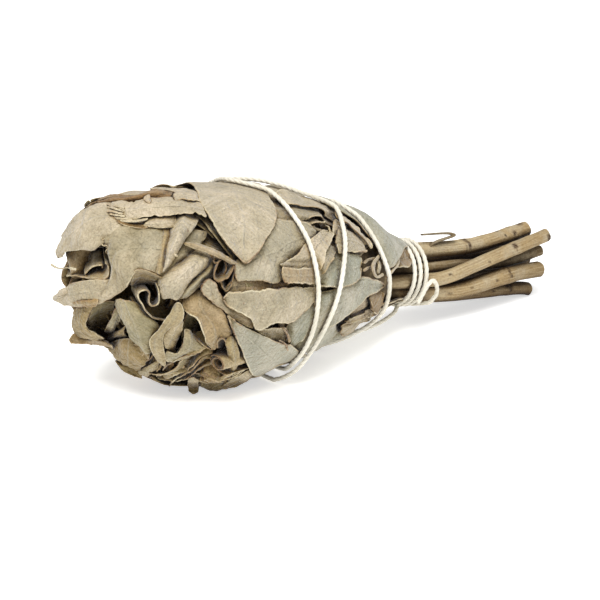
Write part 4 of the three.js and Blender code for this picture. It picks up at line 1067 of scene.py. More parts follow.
        [[27.5, 33.4, 1], [29.2, 33.2, 1.3], [31.6, 33.2, 0.8]],
        [[25.8, 35.6, 1], [27, 35.8, 1.4], [28.4, 35, 1.1]],
        [[24.4, 37.5, 1], [26, 37.8, 1.3], [27.4, 37.4, 0.9]],
        [[24.9, 40, 0.8], [26.3, 40, 1.2], [27.9, 39.6, 0.9]],
        [[26.2, 42.2, 0.5], [27.2, 42.4, 0.8], [28.2, 42.2, 0.5]],
        [[27.6, 43.2, 0.1], [27.9, 43.4, 0.2], [28.2, 43.2, 0.1]],
    ]),
    "spoon_bowl": dict(tone=(0.75, 0), olive_and_shade=0.5, net=[
        [[31.2, 33, 0.6], [31.9, 32.8, 0.2], [32.6, 33, -0.8]],
        [[28.6, 34.6, 0.7], [30.2, 34.8, 0.3], [31.9, 35, -1.2]],
        [[27.5, 37, 0.6], [29.1, 37.2, 0.2], [31, 37.4, -1.6]],
        [[28.1, 39.4, 0.5], [28.9, 39.6, 0.1], [29.9, 39.8, -1.2]],
    ]),
    "spoon_side": dict(tone=(0.35, 0), olive_and_shade=0.6, net=[
        [[32.4, 34.4, -1.2], [33.6, 35, -1.6], [34.8, 36.4, -2.4]],
        [[32.4, 36.6, 0.2], [33.8, 37, 0], [36, 38, -1]],
        [[32, 38.8, 0.7], [33.6, 39, 0.5], [37, 39.4, -0.4]],
        [[30.6, 40.4, 0.9], [32, 40.8, 0.8], [34.4, 40.8, 0]],
        [[28.5, 40, 0.6], [29.4, 41.4, 0.7], [31, 42, 0.1]],
        [[28, 41.2, 0.4], [28.3, 42, 0.4], [29, 42.5, 0.1]],
    ]),
    "tan_saddle": dict(tone=(0.9, 0.2), olive_and_shade=0.4, ragged=0.25, creases=0.34, net=[
        [[33.5, 26.2, -3.6], [36, 25.6, -3.2], [38.5, 26.6, -2.6]],
        [[32.1, 28.2, -1.8], [36, 28.2, -1.2], [40.2, 28.6, -1.4]],
        [[32.8, 30.8, -0.6], [37, 31, -1.3], [42, 31.2, -0.9]],
        [[35.4, 32.6, 0.5], [38.5, 33, -0.9], [42.7, 33.6, -0.3]],
        [[36.8, 35.6, 0.9], [39.4, 35.5, -0.3], [43.5, 36.2, -0.5]],
        [[37.6, 38, 0.7], [39, 38.2, 0.2], [40.8, 37.6, -0.2]],
        [[39.4, 39.5, 0.3], [39.7, 39.7, 0.2], [40.1, 39.5, 0.1]],
    ]),
    "olive_curl": dict(tone=(0.55, 0.12), olive_and_shade=0.9, net=[
        [[42.8, 36.4, -0.8], [43.5, 36.4, -0.4], [44.2, 36.8, -0.6]],
        [[42.2, 38, 0.3], [43.4, 38.4, 0.7], [44.9, 38.8, 0.1]],
        [[42.7, 40.5, 0.4], [44, 40.6, 0.9], [45.4, 40.8, 0.1]],
        [[42.9, 42.8, 0.4], [44, 43, 0.9], [45.2, 42.9, 0.1]],
        [[42.6, 44.8, 0.2], [43.4, 45, 0.6], [44, 44.9, 0]],
        [[40.8, 46, -0.1], [41.2, 46.3, 0.1], [41.8, 46.2, -0.2]],
    ]),
    "bottom_pale": dict(tone=(0.72, 0), olive_and_shade=0.15, net=[
        [[48.6, 43.6, -1], [48.8, 44.8, -0.6], [48.3, 45.8, -0.6]],
        [[46.6, 44.7, -0.5], [46.8, 46, 0], [46.4, 47.3, -0.2]],
        [[43.6, 46.5, -0.3], [44, 47.4, 0.2], [43.8, 48.4, 0]],
        [[40.7, 48.5, -0.2], [40.9, 48.8, 0], [41.4, 49, -0.1]],
    ]),
    "stub": dict(tone=(0.62, 0.05), olive_and_shade=0.5, net=[
        [[33.4, 46.2, -0.7], [34.6, 46, -0.3], [35.9, 46.4, -0.7]],
        [[33.3, 48.2, -0.2], [34.6, 48.2, 0.2], [35.8, 48.2, -0.2]],
        [[33.7, 49.6, -0.1], [34.6, 50, 0.1], [35.6, 49.7, -0.1]],
    ]),
    "bright_fold": dict(tone=(0.75, 0), net=[
        [[30.2, 8, -1.4], [32.8, 7.4, -0.4], [36.2, 8.4, -1.6]],
        [[29.4, 11, -0.4], [31.6, 11, 1.5], [35, 11, -0.6]],
        [[29, 14, -0.3], [30.6, 14, 1.7], [32.6, 14, -0.3]],
        [[28, 17.2, -0.2], [29.2, 17.2, 1.6], [30.7, 17.2, 0]],
        [[27.9, 20, -0.1], [28.3, 20, 1], [28.8, 20, 0.1]],
        [[27.2, 21.5, -0.2], [27.4, 21.6, 0.1], [27.8, 21.4, -0.1]],
    ]),
    "pale_strip": dict(tone=(0.85, 0), olive_and_shade=0.9, net=[
        [[27, 10.8, -0.3], [28, 10.8, 0.1], [29.6, 11, -0.6]],
        [[27.3, 14, 0], [27.9, 14, 0.3], [29, 14.2, -0.4]],
        [[26.9, 17, 0.3], [27.4, 17, 0.6], [28.2, 17.2, 0]],
        [[26.3, 20, 0.4], [26.9, 20, 0.7], [27.9, 20.2, 0.1]],
        [[26, 21.7, 0.2], [26.5, 21.9, 0.3], [27.3, 21.7, 0]],
    ]),
    "pale_roll": dict(tone=(0.72, 0), net=[
        [[34, 16.2, -3.6], [36.6, 16.2, -2.6], [38.2, 17.4, -2.8], [39.4, 18.8, -4.2]],
        [[31.4, 18.8, -2.4], [34.6, 18.4, -0.4], [36.8, 19.2, -0.6], [38, 20.2, -2.6]],
        [[28.4, 20.6, -1.6], [31.6, 21, 1], [34.4, 21.2, 0.7], [36.4, 21.4, -1.8]],
        [[26.4, 23.4, -1.6], [29, 23.6, 1.2], [31.8, 23.8, 1.2], [34.2, 23.4, -1.4]],
        [[26.4, 26, -1.4], [28.9, 25.8, 1.1], [30.8, 26, 1.1], [32.6, 25.6, -0.8]],
        [[27.8, 28, -0.8], [29.4, 27.6, 0.5], [30.8, 28, 0.5], [31.8, 27.4, -0.5]],
    ]),
    "second_roll": dict(tone=(0.35, 0), olive_and_shade=0.4, net=[
        [[37.6, 19.2, -4], [39.2, 18.8, -3], [40.6, 20.2, -4.2]],
        [[36.2, 21.4, -3.2], [38.4, 21.2, -1.8], [39.4, 22.6, -3.2]],
        [[34, 23.4, -2.6], [36.2, 23.2, -1.1], [37.2, 24.2, -2.6]],
        [[32, 26, -1.8], [33.8, 25.4, -0.6], [34.6, 26.2, -1.8]],
        [[31, 28.2, -1.4], [32, 27.6, -0.8], [32.6, 27.8, -1.6]],
    ]),
    "dry_stick": dict(tone=(0.95, 0.15), net=[
        [[46.2, 19.3, -1], [46, 19.7, -0.7], [45.6, 20.1, -1]],
        [[44.2, 18.9, -0.2], [43.9, 19.3, 0.2], [43.4, 19.6, -0.2]],
        [[41.4, 17.1, 0.1], [41.1, 17.7, 0.5], [40.8, 18.3, 0.1]],
        [[38.2, 15.7, 0.2], [37.9, 16.3, 0.6], [37.6, 17, 0.2]],
        [[35.2, 14.7, 0.1], [34.9, 15.3, 0.5], [34.6, 16, 0.1]],
        [[32.5, 14.6, -0.3], [32.4, 14.8, -0.2], [32.3, 15, -0.3]],
    ]),
    "left_lip": dict(tone=(0.6, 0.2), olive_and_shade=0.4, net=[
        [[28.6, 23.5, -0.9], [28.4, 24.2, -2.6], [28, 25.4, -4.2]],
        [[26, 22, -0.2], [25.6, 23, -2.4], [25.2, 24.4, -4.4]],
        [[23.6, 20.9, 0.3], [22.8, 22.4, -1.8], [22.4, 24.2, -4.2]],
        [[21.4, 20.8, 0.8], [21, 22.6, -0.6], [20.8, 24.6, -3]],
        [[20.3, 21.6, 0.9], [20.2, 23.2, 0.3], [19.8, 24.8, -1]],
    ]),
}
# the open edge of a curled leaf drawn in the same way, and where its other end is rooted
CURLED = {
    "spiral": dict(tone=(0.5, 0), root=[24.6, 27.6, -7.5], slim=1.3, edge=[
        [30.4, 32, -1.6], [28.2, 32.6, -1.2], [26, 32.2, -0.6], [24.4, 31.4, 0], [23.2, 29.8, 0.6],
        [22.3, 28, 0.8], [21.9, 26.8, 0.8], [22.5, 26, 0.7], [23.8, 25.9, 0.6],
        [24.5, 26.6, 0.4], [24.3, 27.6, 0.3], [24.4, 28.7, 0.2], [25.2, 29.4, 0.2],
        [26.2, 29.1, 0.1], [26.7, 27.8, 0], [26.4, 26, -0.4], [25.9, 24.3, -1]]),
    "cup": dict(tone=(0.7, 0), root=[12.4, 15.2, -8], slim=0.8, edge=[
        [13.4, 20.6, -2], [13.4, 19.9, -1.4], [12.2, 20.1, -1], [10.8, 20.8, -0.8],
        [9.7, 21.7, -0.7], [9.5, 22.4, -0.7], [10.6, 22.8, -0.4], [12.4, 23, -0.1],
        [14.2, 22.9, 0], [14.9, 21.8, -0.1], [14.7, 20.4, -0.4], [13.9, 19.6, -0.8]]),
    "cup_lip": dict(tone=(0.8, 0), root=[9.6, 21, -6], slim=0.8, edge=[
        [5.3, 22.5, 0], [7.2, 22.3, 0], [9.4, 22.8, 0], [12, 23.2, 0.1],
        [14.8, 23.3, 0], [15.8, 22.4, -0.4]]),
    "tiny_curl": dict(tone=(0.75, 0.1), root=[15.6, 15.6, -2.6], slim=0.9, edge=[
        [15.2, 14.4, 0.4], [14.2, 13.8, 0.8], [13.3, 14.4, 0.8], [13.5, 15.2, 0.8],
        [14.3, 15.3, 0.8], [14.7, 15.9, 0.7], [14.3, 16.7, 0.5], [14.9, 17.2, 0.2]]),
    "ring": dict(tone=(0.8, 0.1), root=[41, 17, -8], slim=0.85, edge=[
        [41.7, 22.3, -1.2], [42.2, 20.8, -1], [42.1, 19.4, -0.8], [41.5, 18.6, -0.6],
        [40.4, 19.6, -0.4], [39.7, 21.4, -0.2], [39.7, 22.9, 0], [40.4, 23.6, 0.1],
        [41.3, 23.3, 0.1], [42.5, 22.6, 0.1], [43.4, 21.4, 0.1], [43.8, 20.1, 0],
        [43.4, 19, -0.4]]),
    "small_ring": dict(tone=(0.85, 0.2), root=[39.6, 17.6, -6], slim=0.8, edge=[
        [40.4, 19.3, -1], [39.8, 19.5, -0.9], [39.4, 19, -0.9], [39.7, 18.5, -0.9],
        [40.2, 18.7, -1]]),
    "below_ring": dict(tone=(0.6, 0.1), root=[43, 20.4, -7], slim=0.8, edge=[
        [41, 23.6, -0.4], [41.8, 25.4, -0.6], [42.6, 26, -0.5], [43.6, 24, -0.3],
        [44.3, 21.6, -0.3], [44.4, 20.2, -0.5]]),
    "hook": dict(tone=(0.6, 0.1), root=[43.4, 38.6, -6], slim=0.8, edge=[
        [40.2, 39.2, -0.2], [40.1, 38.2, 0.2], [40.5, 37.2, 0.4], [41.2, 36.9, 0.5],
        [41.9, 37.6, 0.5], [42.4, 39.2, 0.5], [42.6, 41.2, 0.4]]),
    "white_edge": dict(tone=(0.45, 0), root=[36, 35.6, -4.5], slim=0.6, edge=[
        [27.8, 44.3, -0.2], [28.6, 43.2, 0.4], [30.4, 42.2, 0.7], [32, 41.3, 0.8],
        [33.6, 40.9, 0.7], [35.4, 40.5, 0.4], [37.4, 39.3, -0.3]]),
    "olive_band": dict(tone=(0.5, 0.1), root=[37, 36, -5.5], slim=0.6, edge=[
        [28, 45, -0.7], [30.6, 44.9, -0.1], [32.6, 44.9, 0.2], [34.4, 43.4, 0.3],
        [36.2, 41.5, 0], [38.6, 40.8, -0.6]]),
    "long_band": dict(tone=(0.5, 0.05), root=[38.4, 37.6, -6], slim=0.6, edge=[
        [29.2, 47.9, -0.3], [30.4, 46.5, 0.2], [32.2, 45.6, 0.5], [34, 44.7, 0.6],
        [35.4, 43.2, 0.5], [36.4, 42, 0.2], [38.4, 41.9, -0.4]]),
    "under_band": dict(tone=(0.4, 0.15), root=[38.6, 38.4, -6.5], slim=0.6, edge=[
        [26.6, 46.2, -0.8], [28.6, 46.6, -0.3], [31.4, 46.8, -0.1], [33.6, 46, -0.1],
        [35.6, 44.2, -0.2], [38, 43, -0.8]]),
    "twig_fold": dict(tone=(0.95, 0.4), root=[36.6, 36, -6], slim=0.9, edge=[
        [34.4, 36.6, -1.2], [35.8, 37.6, -0.7], [37.2, 38.8, -0.2], [38.6, 39.6, 0.1]]),
}
# torn strips and threads: half width, tone and line
SLIVERS = [
    (0.22, (1, 0.9), [[54.6, 37.4, 0.3], [56, 38.2, 0.5], [56.7, 39.8, 0.6]]),
    (0.3, (1, 0.8), [[55.6, 34.6, -0.2], [56.6, 36, 0.1], [57, 37.8, 0.2]]),
    (0.35, (0.6, 0.4), [[78.2, 17.4, -0.4], [76.8, 19.2, 0], [76.6, 21, 0], [77.4, 22.6, 0],
                        [78.8, 22, -0.3]]),
    (0.3, (0.6, 0.2), [[77.6, 18.8, -0.8], [77.9, 20.4, -0.3], [77.6, 22, -0.6]]),
    (0.3, (0.7, 0.2), [[79.6, 22.8, 0], [81.2, 21, 0.4], [82.4, 19, 0.7], [82.2, 17.4, 0.5]]),
    (0.3, (0.9, 0.6), [[74.2, 19.4, -1.2], [75.4, 18.6, -0.9], [76.8, 18.4, -1.2]]),
    (0.3, (0.9, 0.7), [[74.2, 21.2, -1.2], [75.6, 20.4, -1], [76.6, 20.6, -1.4]]),
    (0.14, (0.5, 0.3), [[7.4, 20.9, 0.6], [5.5, 20.5, 0.9], [3.2, 20.6, 1.6], [1.4, 19.7, 2.2]]),
    (0.24, (0.8, 0.1), [[31, 18, 0.2], [30.4, 17.5, 0.8], [29.9, 17.2, 1]]),
    (0.22, (0.9, 0.5), [[18.6, 6.6, 1.6], [17, 6.2, 1.3], [15.6, 6, 1.1], [14.4, 5.6, 0.9]]),
    (0.2, (0.8, 0.2), [[18.4, 7.4, 1.5], [16.8, 6.9, 1.4], [15.2, 6.4, 1], [14.2, 6.4, 0.8]]),
    (0.22, (0.95, 0.6), [[18.2, 8, 1.3], [16.8, 7.6, 1.4], [15.4, 7.3, 1.1], [14.6, 7.4, 0.8]]),
    (0.18, (0.8, 0.3), [[18.8, 8.5, 1.2], [17.4, 8.3, 1.3], [16, 8.1, 1], [15.2, 7.9, 0.8]]),
    (0.25, (0.9, 0.5), [[20.4, 9.2, 1], [18.8, 9, 1.2], [17, 8.9, 1], [16.2, 8.5, 0.8]]),
    (0.3, (0.85, 0.35), [[24, 9, 1], [22, 9.5, 1.2], [19.6, 9.6, 1], [17.6, 9.4, 0.9]]),
]
# thin wavy layers low on the end: how many, the first and last one's ends, and where they root
LAYERS = [
    (9, [[36.4, 44.6], [35.2, 48.2]], [[43.2, 45], [43.2, 47.2]], [39.8, 38.5, -7]),
    (6, [[18.4, 42.2], [27.4, 46.2]], [[22.4, 40], [31.4, 43.8]], [27, 37, -5]),
    (5, [[41.6, 45.2], [41.4, 47.6]], [[46.6, 42.8], [46.8, 45]], [43.4, 39.5, -7]),
]
# rolled leaves round the end of the head, the last three as in the solids: the place of the open end,
# length and width, the direction midway between those of its two edges, how far it turns from one to
# the other, how much tighter it gets on the way, how slim its root is
ROLLS = [
    dict(end=[77.2, 125.4, 1.2], long=18, wide=24, head=90, turn=-900, bend=0.57, slim=0.9,
         tone=(0.76, 0)),
    dict(end=[83, 156, -0.4], long=24, wide=18, head=-156, turn=-110, bend=0, slim=0.9,
         tone=(0.4, 0.1)),
    dict(end=[79, 143, -1.6], long=22, wide=16, head=-143, turn=-90, bend=0.2, slim=0.9,
         tone=(0.3, 0.05)),
    dict(end=[93, 125, -0.5], long=20, wide=16, head=-100, turn=-160, bend=0.2, slim=0.8,
         tone=(0.45, 0.1)),
]
CURLS = 4        # seeded rolled leaves low on the far side
CURLS_FROM, CURLS_STEP = -165, 32    # degrees round the head
PETALS = 38      # leaves packed inside the head


def creased(wide, long, key, size=0.16):
    """The relief of a dried blade: long soft folds and short cross wrinkles."""
    return (size * ripple(wide * 2.2, long, 7, key + 3) + 0.07 * ripple(wide, long * 1.6, 2.4, key + 4)
            + 0.03 * ripple(wide, long, 1.1, key + 5))


def raise_by(grid, rise):
    """Moves a grid of frame points, in mm, along its normals and turns it to metres."""
    return above_floor((grid + square_to(grid) * rise[..., None]) * MM)


RAGGED_SIZE = 1.9    # how long the torn notches of a ragged margin are
FOLD_ENDS = 0.7      # how far from its ends a folded leaf narrows


def folded_leaf(pile, net, tone, key, tip_tone=None, ragged=0, round_back=0, olive_and_shade=0, creases=0.16,
                nu=46, nv=26):
    """A leaf through a net of points in the end of the head; round_back turns its first margin on
    round the head by so many degrees."""
    net = seen(net)
    if round_back:
        q, phi = under(lift_off(net[:, 0]))
        phi = phi + round_back * (1 - smooth(np.linspace(0, 1, len(q)), 0.4, 0.8))
        net = np.concatenate([place(slant(on_head(q, phi, 0.1)))[:, None] / MM, net], 1)
    rows = spline(net, shares(nu))
    long = gone_along(rows[:, rows.shape[1] // 2])
    taper = narrowing(long, FOLD_ENDS, 0.05)
    v = steps(nv)
    girth = np.linalg.norm(np.diff(rows, axis=1), axis=2).sum(1) / 2
    wide = v * girth[:, None] * taper[:, None]
    stray = [torn(long, k) - ragged * np.abs(ripple(long, 0, RAGGED_SIZE, k + 9))
             for k in (key, key + 20)]
    grid = []
    for i in range(nu):
        grow = 1 + np.where(v < 0, stray[0][i], stray[1][i]) / max(girth[i], NARROWEST)
        grid.append(spline(rows[i], np.clip(0.5 + 0.5 * v * grow * taper[i], 0, 1)))
    relief = creased(wide, long[:, None], key, creases)
    sheet(pile, raise_by(np.array(grid), relief), wide, long, tone, tip_tone, olive_and_shade)


def sliver(pile, line, wide, tone, key):
    """A torn strip or a thread of leaf along a line, with its margins a little lower."""
    line = np.array(line)
    along = unit(np.gradient(line[:, :2], axis=0))
    side = np.stack([-along[:, 1], along[:, 0], np.zeros(len(line))], -1) * wide
    net = np.stack([line - side - [0, 0, 0.1], line, line + side - [0, 0, 0.1]], 1)
    folded_leaf(pile, net, tone, key, nu=24, nv=8)


FLARE = 0.06         # how much wider the open edge of a curled leaf turns out
EDGE_TEAR = 0.3      # how far it strays
CURL_CREASES = 0.7   # its creases against those of a folded leaf


def curled_leaf(pile, edge, root, tone, key, slim, nu=24, nv=76):
    """A leaf from its open edge down to where it is rooted; slim: how wide it is at the root."""
    rim = spline(seen(edge), shares(nv))
    root = seen(root)
    centre = rim.mean(0)
    base = root + (rim - centre) * slim
    u = shares(nu)[:, None, None]
    girth = gone_along(rim)
    grid = mix(base, rim, u) + (rim - centre) * FLARE * smooth(u, 0.7, 1)
    grid = grid + unit(centre - root) * torn(girth, key, EDGE_TEAR)[None, :, None] * smooth(u, 0.5, 1)
    long = u[:, 0, 0] * np.linalg.norm(rim - base, axis=1).mean()
    wide = (girth - girth[-1] / 2) * mix(min(slim, 1), 1, u[..., 0])
    relief = CURL_CREASES * creased(wide, long[:, None], key)
    sheet(pile, raise_by(grid, relief), wide, long, tone, olive_and_shade=0.7)


def layered_leaves(pile, group, count, lefts, rights, root):
    """Leaves pressed flat on each other, from the top one down; each edge bows a little."""
    lefts, rights = np.array(lefts), np.array(rights)
    for j in range(count):
        k, low = j + 20 * group, j / (count - 1)
        left = mix(*lefts, low) + [1.5 * draw(k, 91), 0.4 * draw(k, 92)]
        right = mix(*rights, low) + [1.2 * draw(k, 93), 0.4 * draw(k, 94)]
        bow = 0.4 + 0.9 * draw(k, 95)
        edge = []
        for i, t in enumerate((0, 0.2, 0.4, 0.6, 0.8, 1)):
            right_of, down = mix(left, right, t)
            rise = math.sin(math.pi * t)
            edge.append([right_of, down + bow * rise + 0.35 * (draw(k, 96 + i) - 0.5),
                         -0.6 + 0.5 * rise - 0.15 * low])
        curled_leaf(pile, edge, root, (draw(k, 103), 0.3 * draw(k, 104)), 1450 + 10 * k, 0.6,
                    nu=14, nv=42)


def rolled_leaf(pile, leaf, key, nu=26, nv=66):
    """A leaf rolled up along its length, with the open end at the skin of the head."""
    end = on_head(*leaf["end"])
    start = end * [1, leaf["slim"], leaf["slim"]] - [leaf["long"], 0, 0]
    along = unit(end - start)
    across = unit(np.cross([0, 0, 1], along))
    up = np.cross(along, across)
    even = (np.arange(1, nv) - 0.5) / (nv - 1) - 0.5
    a = np.radians(leaf["head"] + leaf["turn"] * (even + leaf["bend"] * (even ** 2 - 0.25)))
    pace = leaf["wide"] / (nv - 1)
    x = np.append(0, np.cumsum(pace * np.cos(a)))
    y = np.append(0, np.cumsum(pace * np.sin(a)))
    u, v = shares(nu)[:, None], np.linspace(-1, 1, nv)
    size = mix(leaf["slim"], 1, u)
    x, y = (x - x.mean()) * size, (y - y.mean()) * size
    reach = np.linalg.norm(end - start)
    wide = np.broadcast_to(v * leaf["wide"] / 2, (nu, nv))
    depth = reach * u - 2 * v ** 2 * u + 0.5 * ripple(wide, 0, 5, key) * smooth(u, 0.5, 1)
    grid = start + depth[..., None] * along + x[..., None] * across + y[..., None] * up
    relief = 0.06 * ripple(wide, depth, 2, key + 3)
    sheet(pile, raise_by(place(slant(grid)) / MM, relief), wide, u[:, 0] * reach, leaf["tone"], olive_and_shade=0.7)


PACKED_FROM = 44       # packed leaves start this far from the tie
INNERMOST, OUTERMOST = 0.12, 0.9   # how far out the first and the last lie, as shares of R_HEAD
GOLDEN = 137.5         # each is turned on by this angle, so that none lies right over the last
PACKED_CALM = (15, 22)   # the bends die out between these radii
# how the pack is bent: reach in x and y, lengths of its waves along x and y, where they start
BENDS = ((0.95, 0, 13, 17, 1.1), (0.5, 0, -21, 8, 4), (0, 0.95, -15, 12, 2.3), (0, 0.5, 7.5, 19, 0.4))


def packed_leaf(pile, k, nu=26, nv=26):
    """One of the leaves packed inside the head, each a little further out than the last."""
    share = mix(INNERMOST, OUTERMOST, math.sqrt((k + 0.5) / PETALS))
    out = R_HEAD * share
    span = 34 + 40 * (1 - share) + 14 * draw(k, 80)
    u, v = shares(nu)[:, None], steps(nv)
    theta = np.radians(GOLDEN * k + span * v + 12 * (draw(k, 81) - 0.5) * u)
    r = out * (1 + 0.05 * v) * (1 + (0.1 * draw(k, 82) - 0.06) * u ** 3)
    end = S_FULL + (S_TIP - S_FULL) * (1 - share ** DOME) ** (1 / DOME) - 1 - 2.6 * draw(k, 83)
    end -= 4.5 * smooth(out * math.sin(math.radians(GOLDEN * k)), -14, -6)
    wide = np.radians(span) * out * v * np.ones_like(u)
    s = mix(PACKED_FROM, end - 2.5 * v ** 2 + 0.5 * ripple(wide, 0, 5, 900 + k), u)
    x, y = r * np.sin(theta), r * np.cos(theta)
    calm = 1 - smooth(np.hypot(x, y), *PACKED_CALM)
    waves = [calm * np.sin(2 * np.pi * (x / long_x + y / long_y) + start)
             for _, _, long_x, long_y, start in BENDS]
    curl = (1.2 * draw(k, 84) - 0.4) * smooth(np.abs(v), 0.6, 1) * u
    x = x - curl * np.sin(theta) + sum(row[0] * wave for row, wave in zip(BENDS, waves))
    y = y - curl * np.cos(theta) + sum(row[1] * wave for row, wave in zip(BENDS, waves))
    grid = above_floor(place(slant(np.stack([s, x, y], -1))))
    sheet(pile, grid, wide, u[:, 0] * (end - PACKED_FROM), (draw(k, 85), 0.35 * draw(k, 86) ** 2),
          olive_and_shade=0.8)


def fill_end(leaf):
    """The leaves that stand in the end of the head."""
    folds, curls, packed = Pile(), Pile(), Pile()
    for key, row in enumerate(FOLDED.values()):
        folded_leaf(folds, key=1000 + 10 * key, **row)
    for key, (wide, tone, line) in enumerate(SLIVERS):
        sliver(folds, line, wide, tone, 1400 + 10 * key)
    for key, row in enumerate(CURLED.values()):
        curled_leaf(curls, key=1300 + 10 * key, **row)
    for group, row in enumerate(LAYERS):
        layered_leaves(curls, group, *row)
    for key, row in enumerate(ROLLS):
        rolled_leaf(curls, row, 1500 + 10 * key)
    for k in range(CURLS):
        phi = CURLS_FROM + CURLS_STEP * k + 14 * draw(k, 11)
        rolled_leaf(curls, dict(
            end=[86 + 7 * draw(k, 12), phi, -2.2 - draw(k, 13)], long=22, wide=14 + 5 * draw(k, 14),
            head=-phi + 50 * (draw(k, 15) - 0.5), turn=-140 - 110 * draw(k, 16),
            bend=0.6 * draw(k, 17), slim=0.8, tone=(draw(k, 87), 0.3 * draw(k, 88))), 1600 + 10 * k)
    for k in range(PETALS):
        packed_leaf(packed, k)
    folds.make("folded_end_leaves", leaf, "dried_leaf", "leaves")
    curls.make("curled_end_leaves", leaf, "dried_leaf", "leaves")
    packed.make("packed_leaves", leaf, "dried_leaf", "leaves")


# along the skin, and how deep below it the core lies there
CORE = [[9, 2], [16, 3.4], [32, 4.6], [50, 5.4], [62, 6.4], [68, 10], [70, 16]]
CORE_RINGS = 49
CORE_SIDES = 48


def packed_core(litter):
    """The dark broken leaf packed round the stems inside the head; its dark colour is partly its own brown
    and partly painted shade for the deep gaps between the leaves.
    """
    turn = 360 / CORE_SIDES * np.arange(CORE_SIDES)
    at_row = np.linspace(0, len(CORE) - 1, CORE_RINGS)
    q, depth = (np.interp(at_row, range(len(CORE)), column)[:, None] for column in zip(*CORE))
    uneven = 0.4 * ripple(q, turn / 5, 6, 950)
    rings = place(slant(on_head(q, turn, uneven - depth)))
    pile = Pile()
    add_rod(pile, rings[:, ::-1], np.zeros((rings[..., 0].size + 2, 2)), (0.5, 1, 0), 0)
    pile.make("packed_core", litter, "dried_leaf", "leaves")


# ---- finishes ----
def srgb(text):
    """A colour written as hex, as linear light."""
    parts = [int(text[i:i + 2], 16) / 255 for i in (1, 3, 5)]
    return tuple(c / 12.92 if c <= 0.04045 else ((c + 0.055) / 1.055) ** 2.4 for c in parts) + (1,)


def put(tree, kind, inputs=(), stops=(), **settings):
    """Adds a node and gives its outputs. inputs: values, hex colours or other nodes' outputs, by the
    sockets' names or numbers or in their order; stops: places and hex colours along a ramp."""
    node = tree.nodes.new("ShaderNode" + kind)
    for name, value in settings.items():
        setattr(node, name, value)
    for socket, value in inputs.items() if isinstance(inputs, dict) else enumerate(inputs):
        if isinstance(value, bpy.types.NodeSocket):
            tree.links.new(value, node.inputs[socket])
        else:
            node.inputs[socket].default_value = srgb(value) if isinstance(value, str) else value
    if stops:
        band = node.color_ramp.elements
        while len(band) < len(stops):
            band.new(0.5)
        for element, (at, text) in zip(band, stops):
            element.position = at
            element.color = srgb(text)
    return node.outputs


def new_finish(name):
    """An empty finish, its nodes, and the place in space that its patterns follow."""
    made = bpy.data.materials.new(name)
    made.use_nodes = True
    tree = made.node_tree
    tree.nodes.clear()
    return made, tree, put(tree, "TexCoord")["Object"]


def end_finish(tree, skin, height=None, deep=0, strength=1):
    """Closes a finish: a relief this many millimetres deep, and the skin that takes the light."""
    if height:
        skin["Normal"] = put(tree, "Bump", {"Height": height, "Distance": deep * MM,
                                            "Strength": strength})["Normal"]
    put(tree, "OutputMaterial", {"Surface": put(tree, "BsdfPrincipled", skin)[0]})


def per_mm(size):
    """How many times in a metre a pattern of this many millimetres repeats."""
    return 1 / (size * MM)


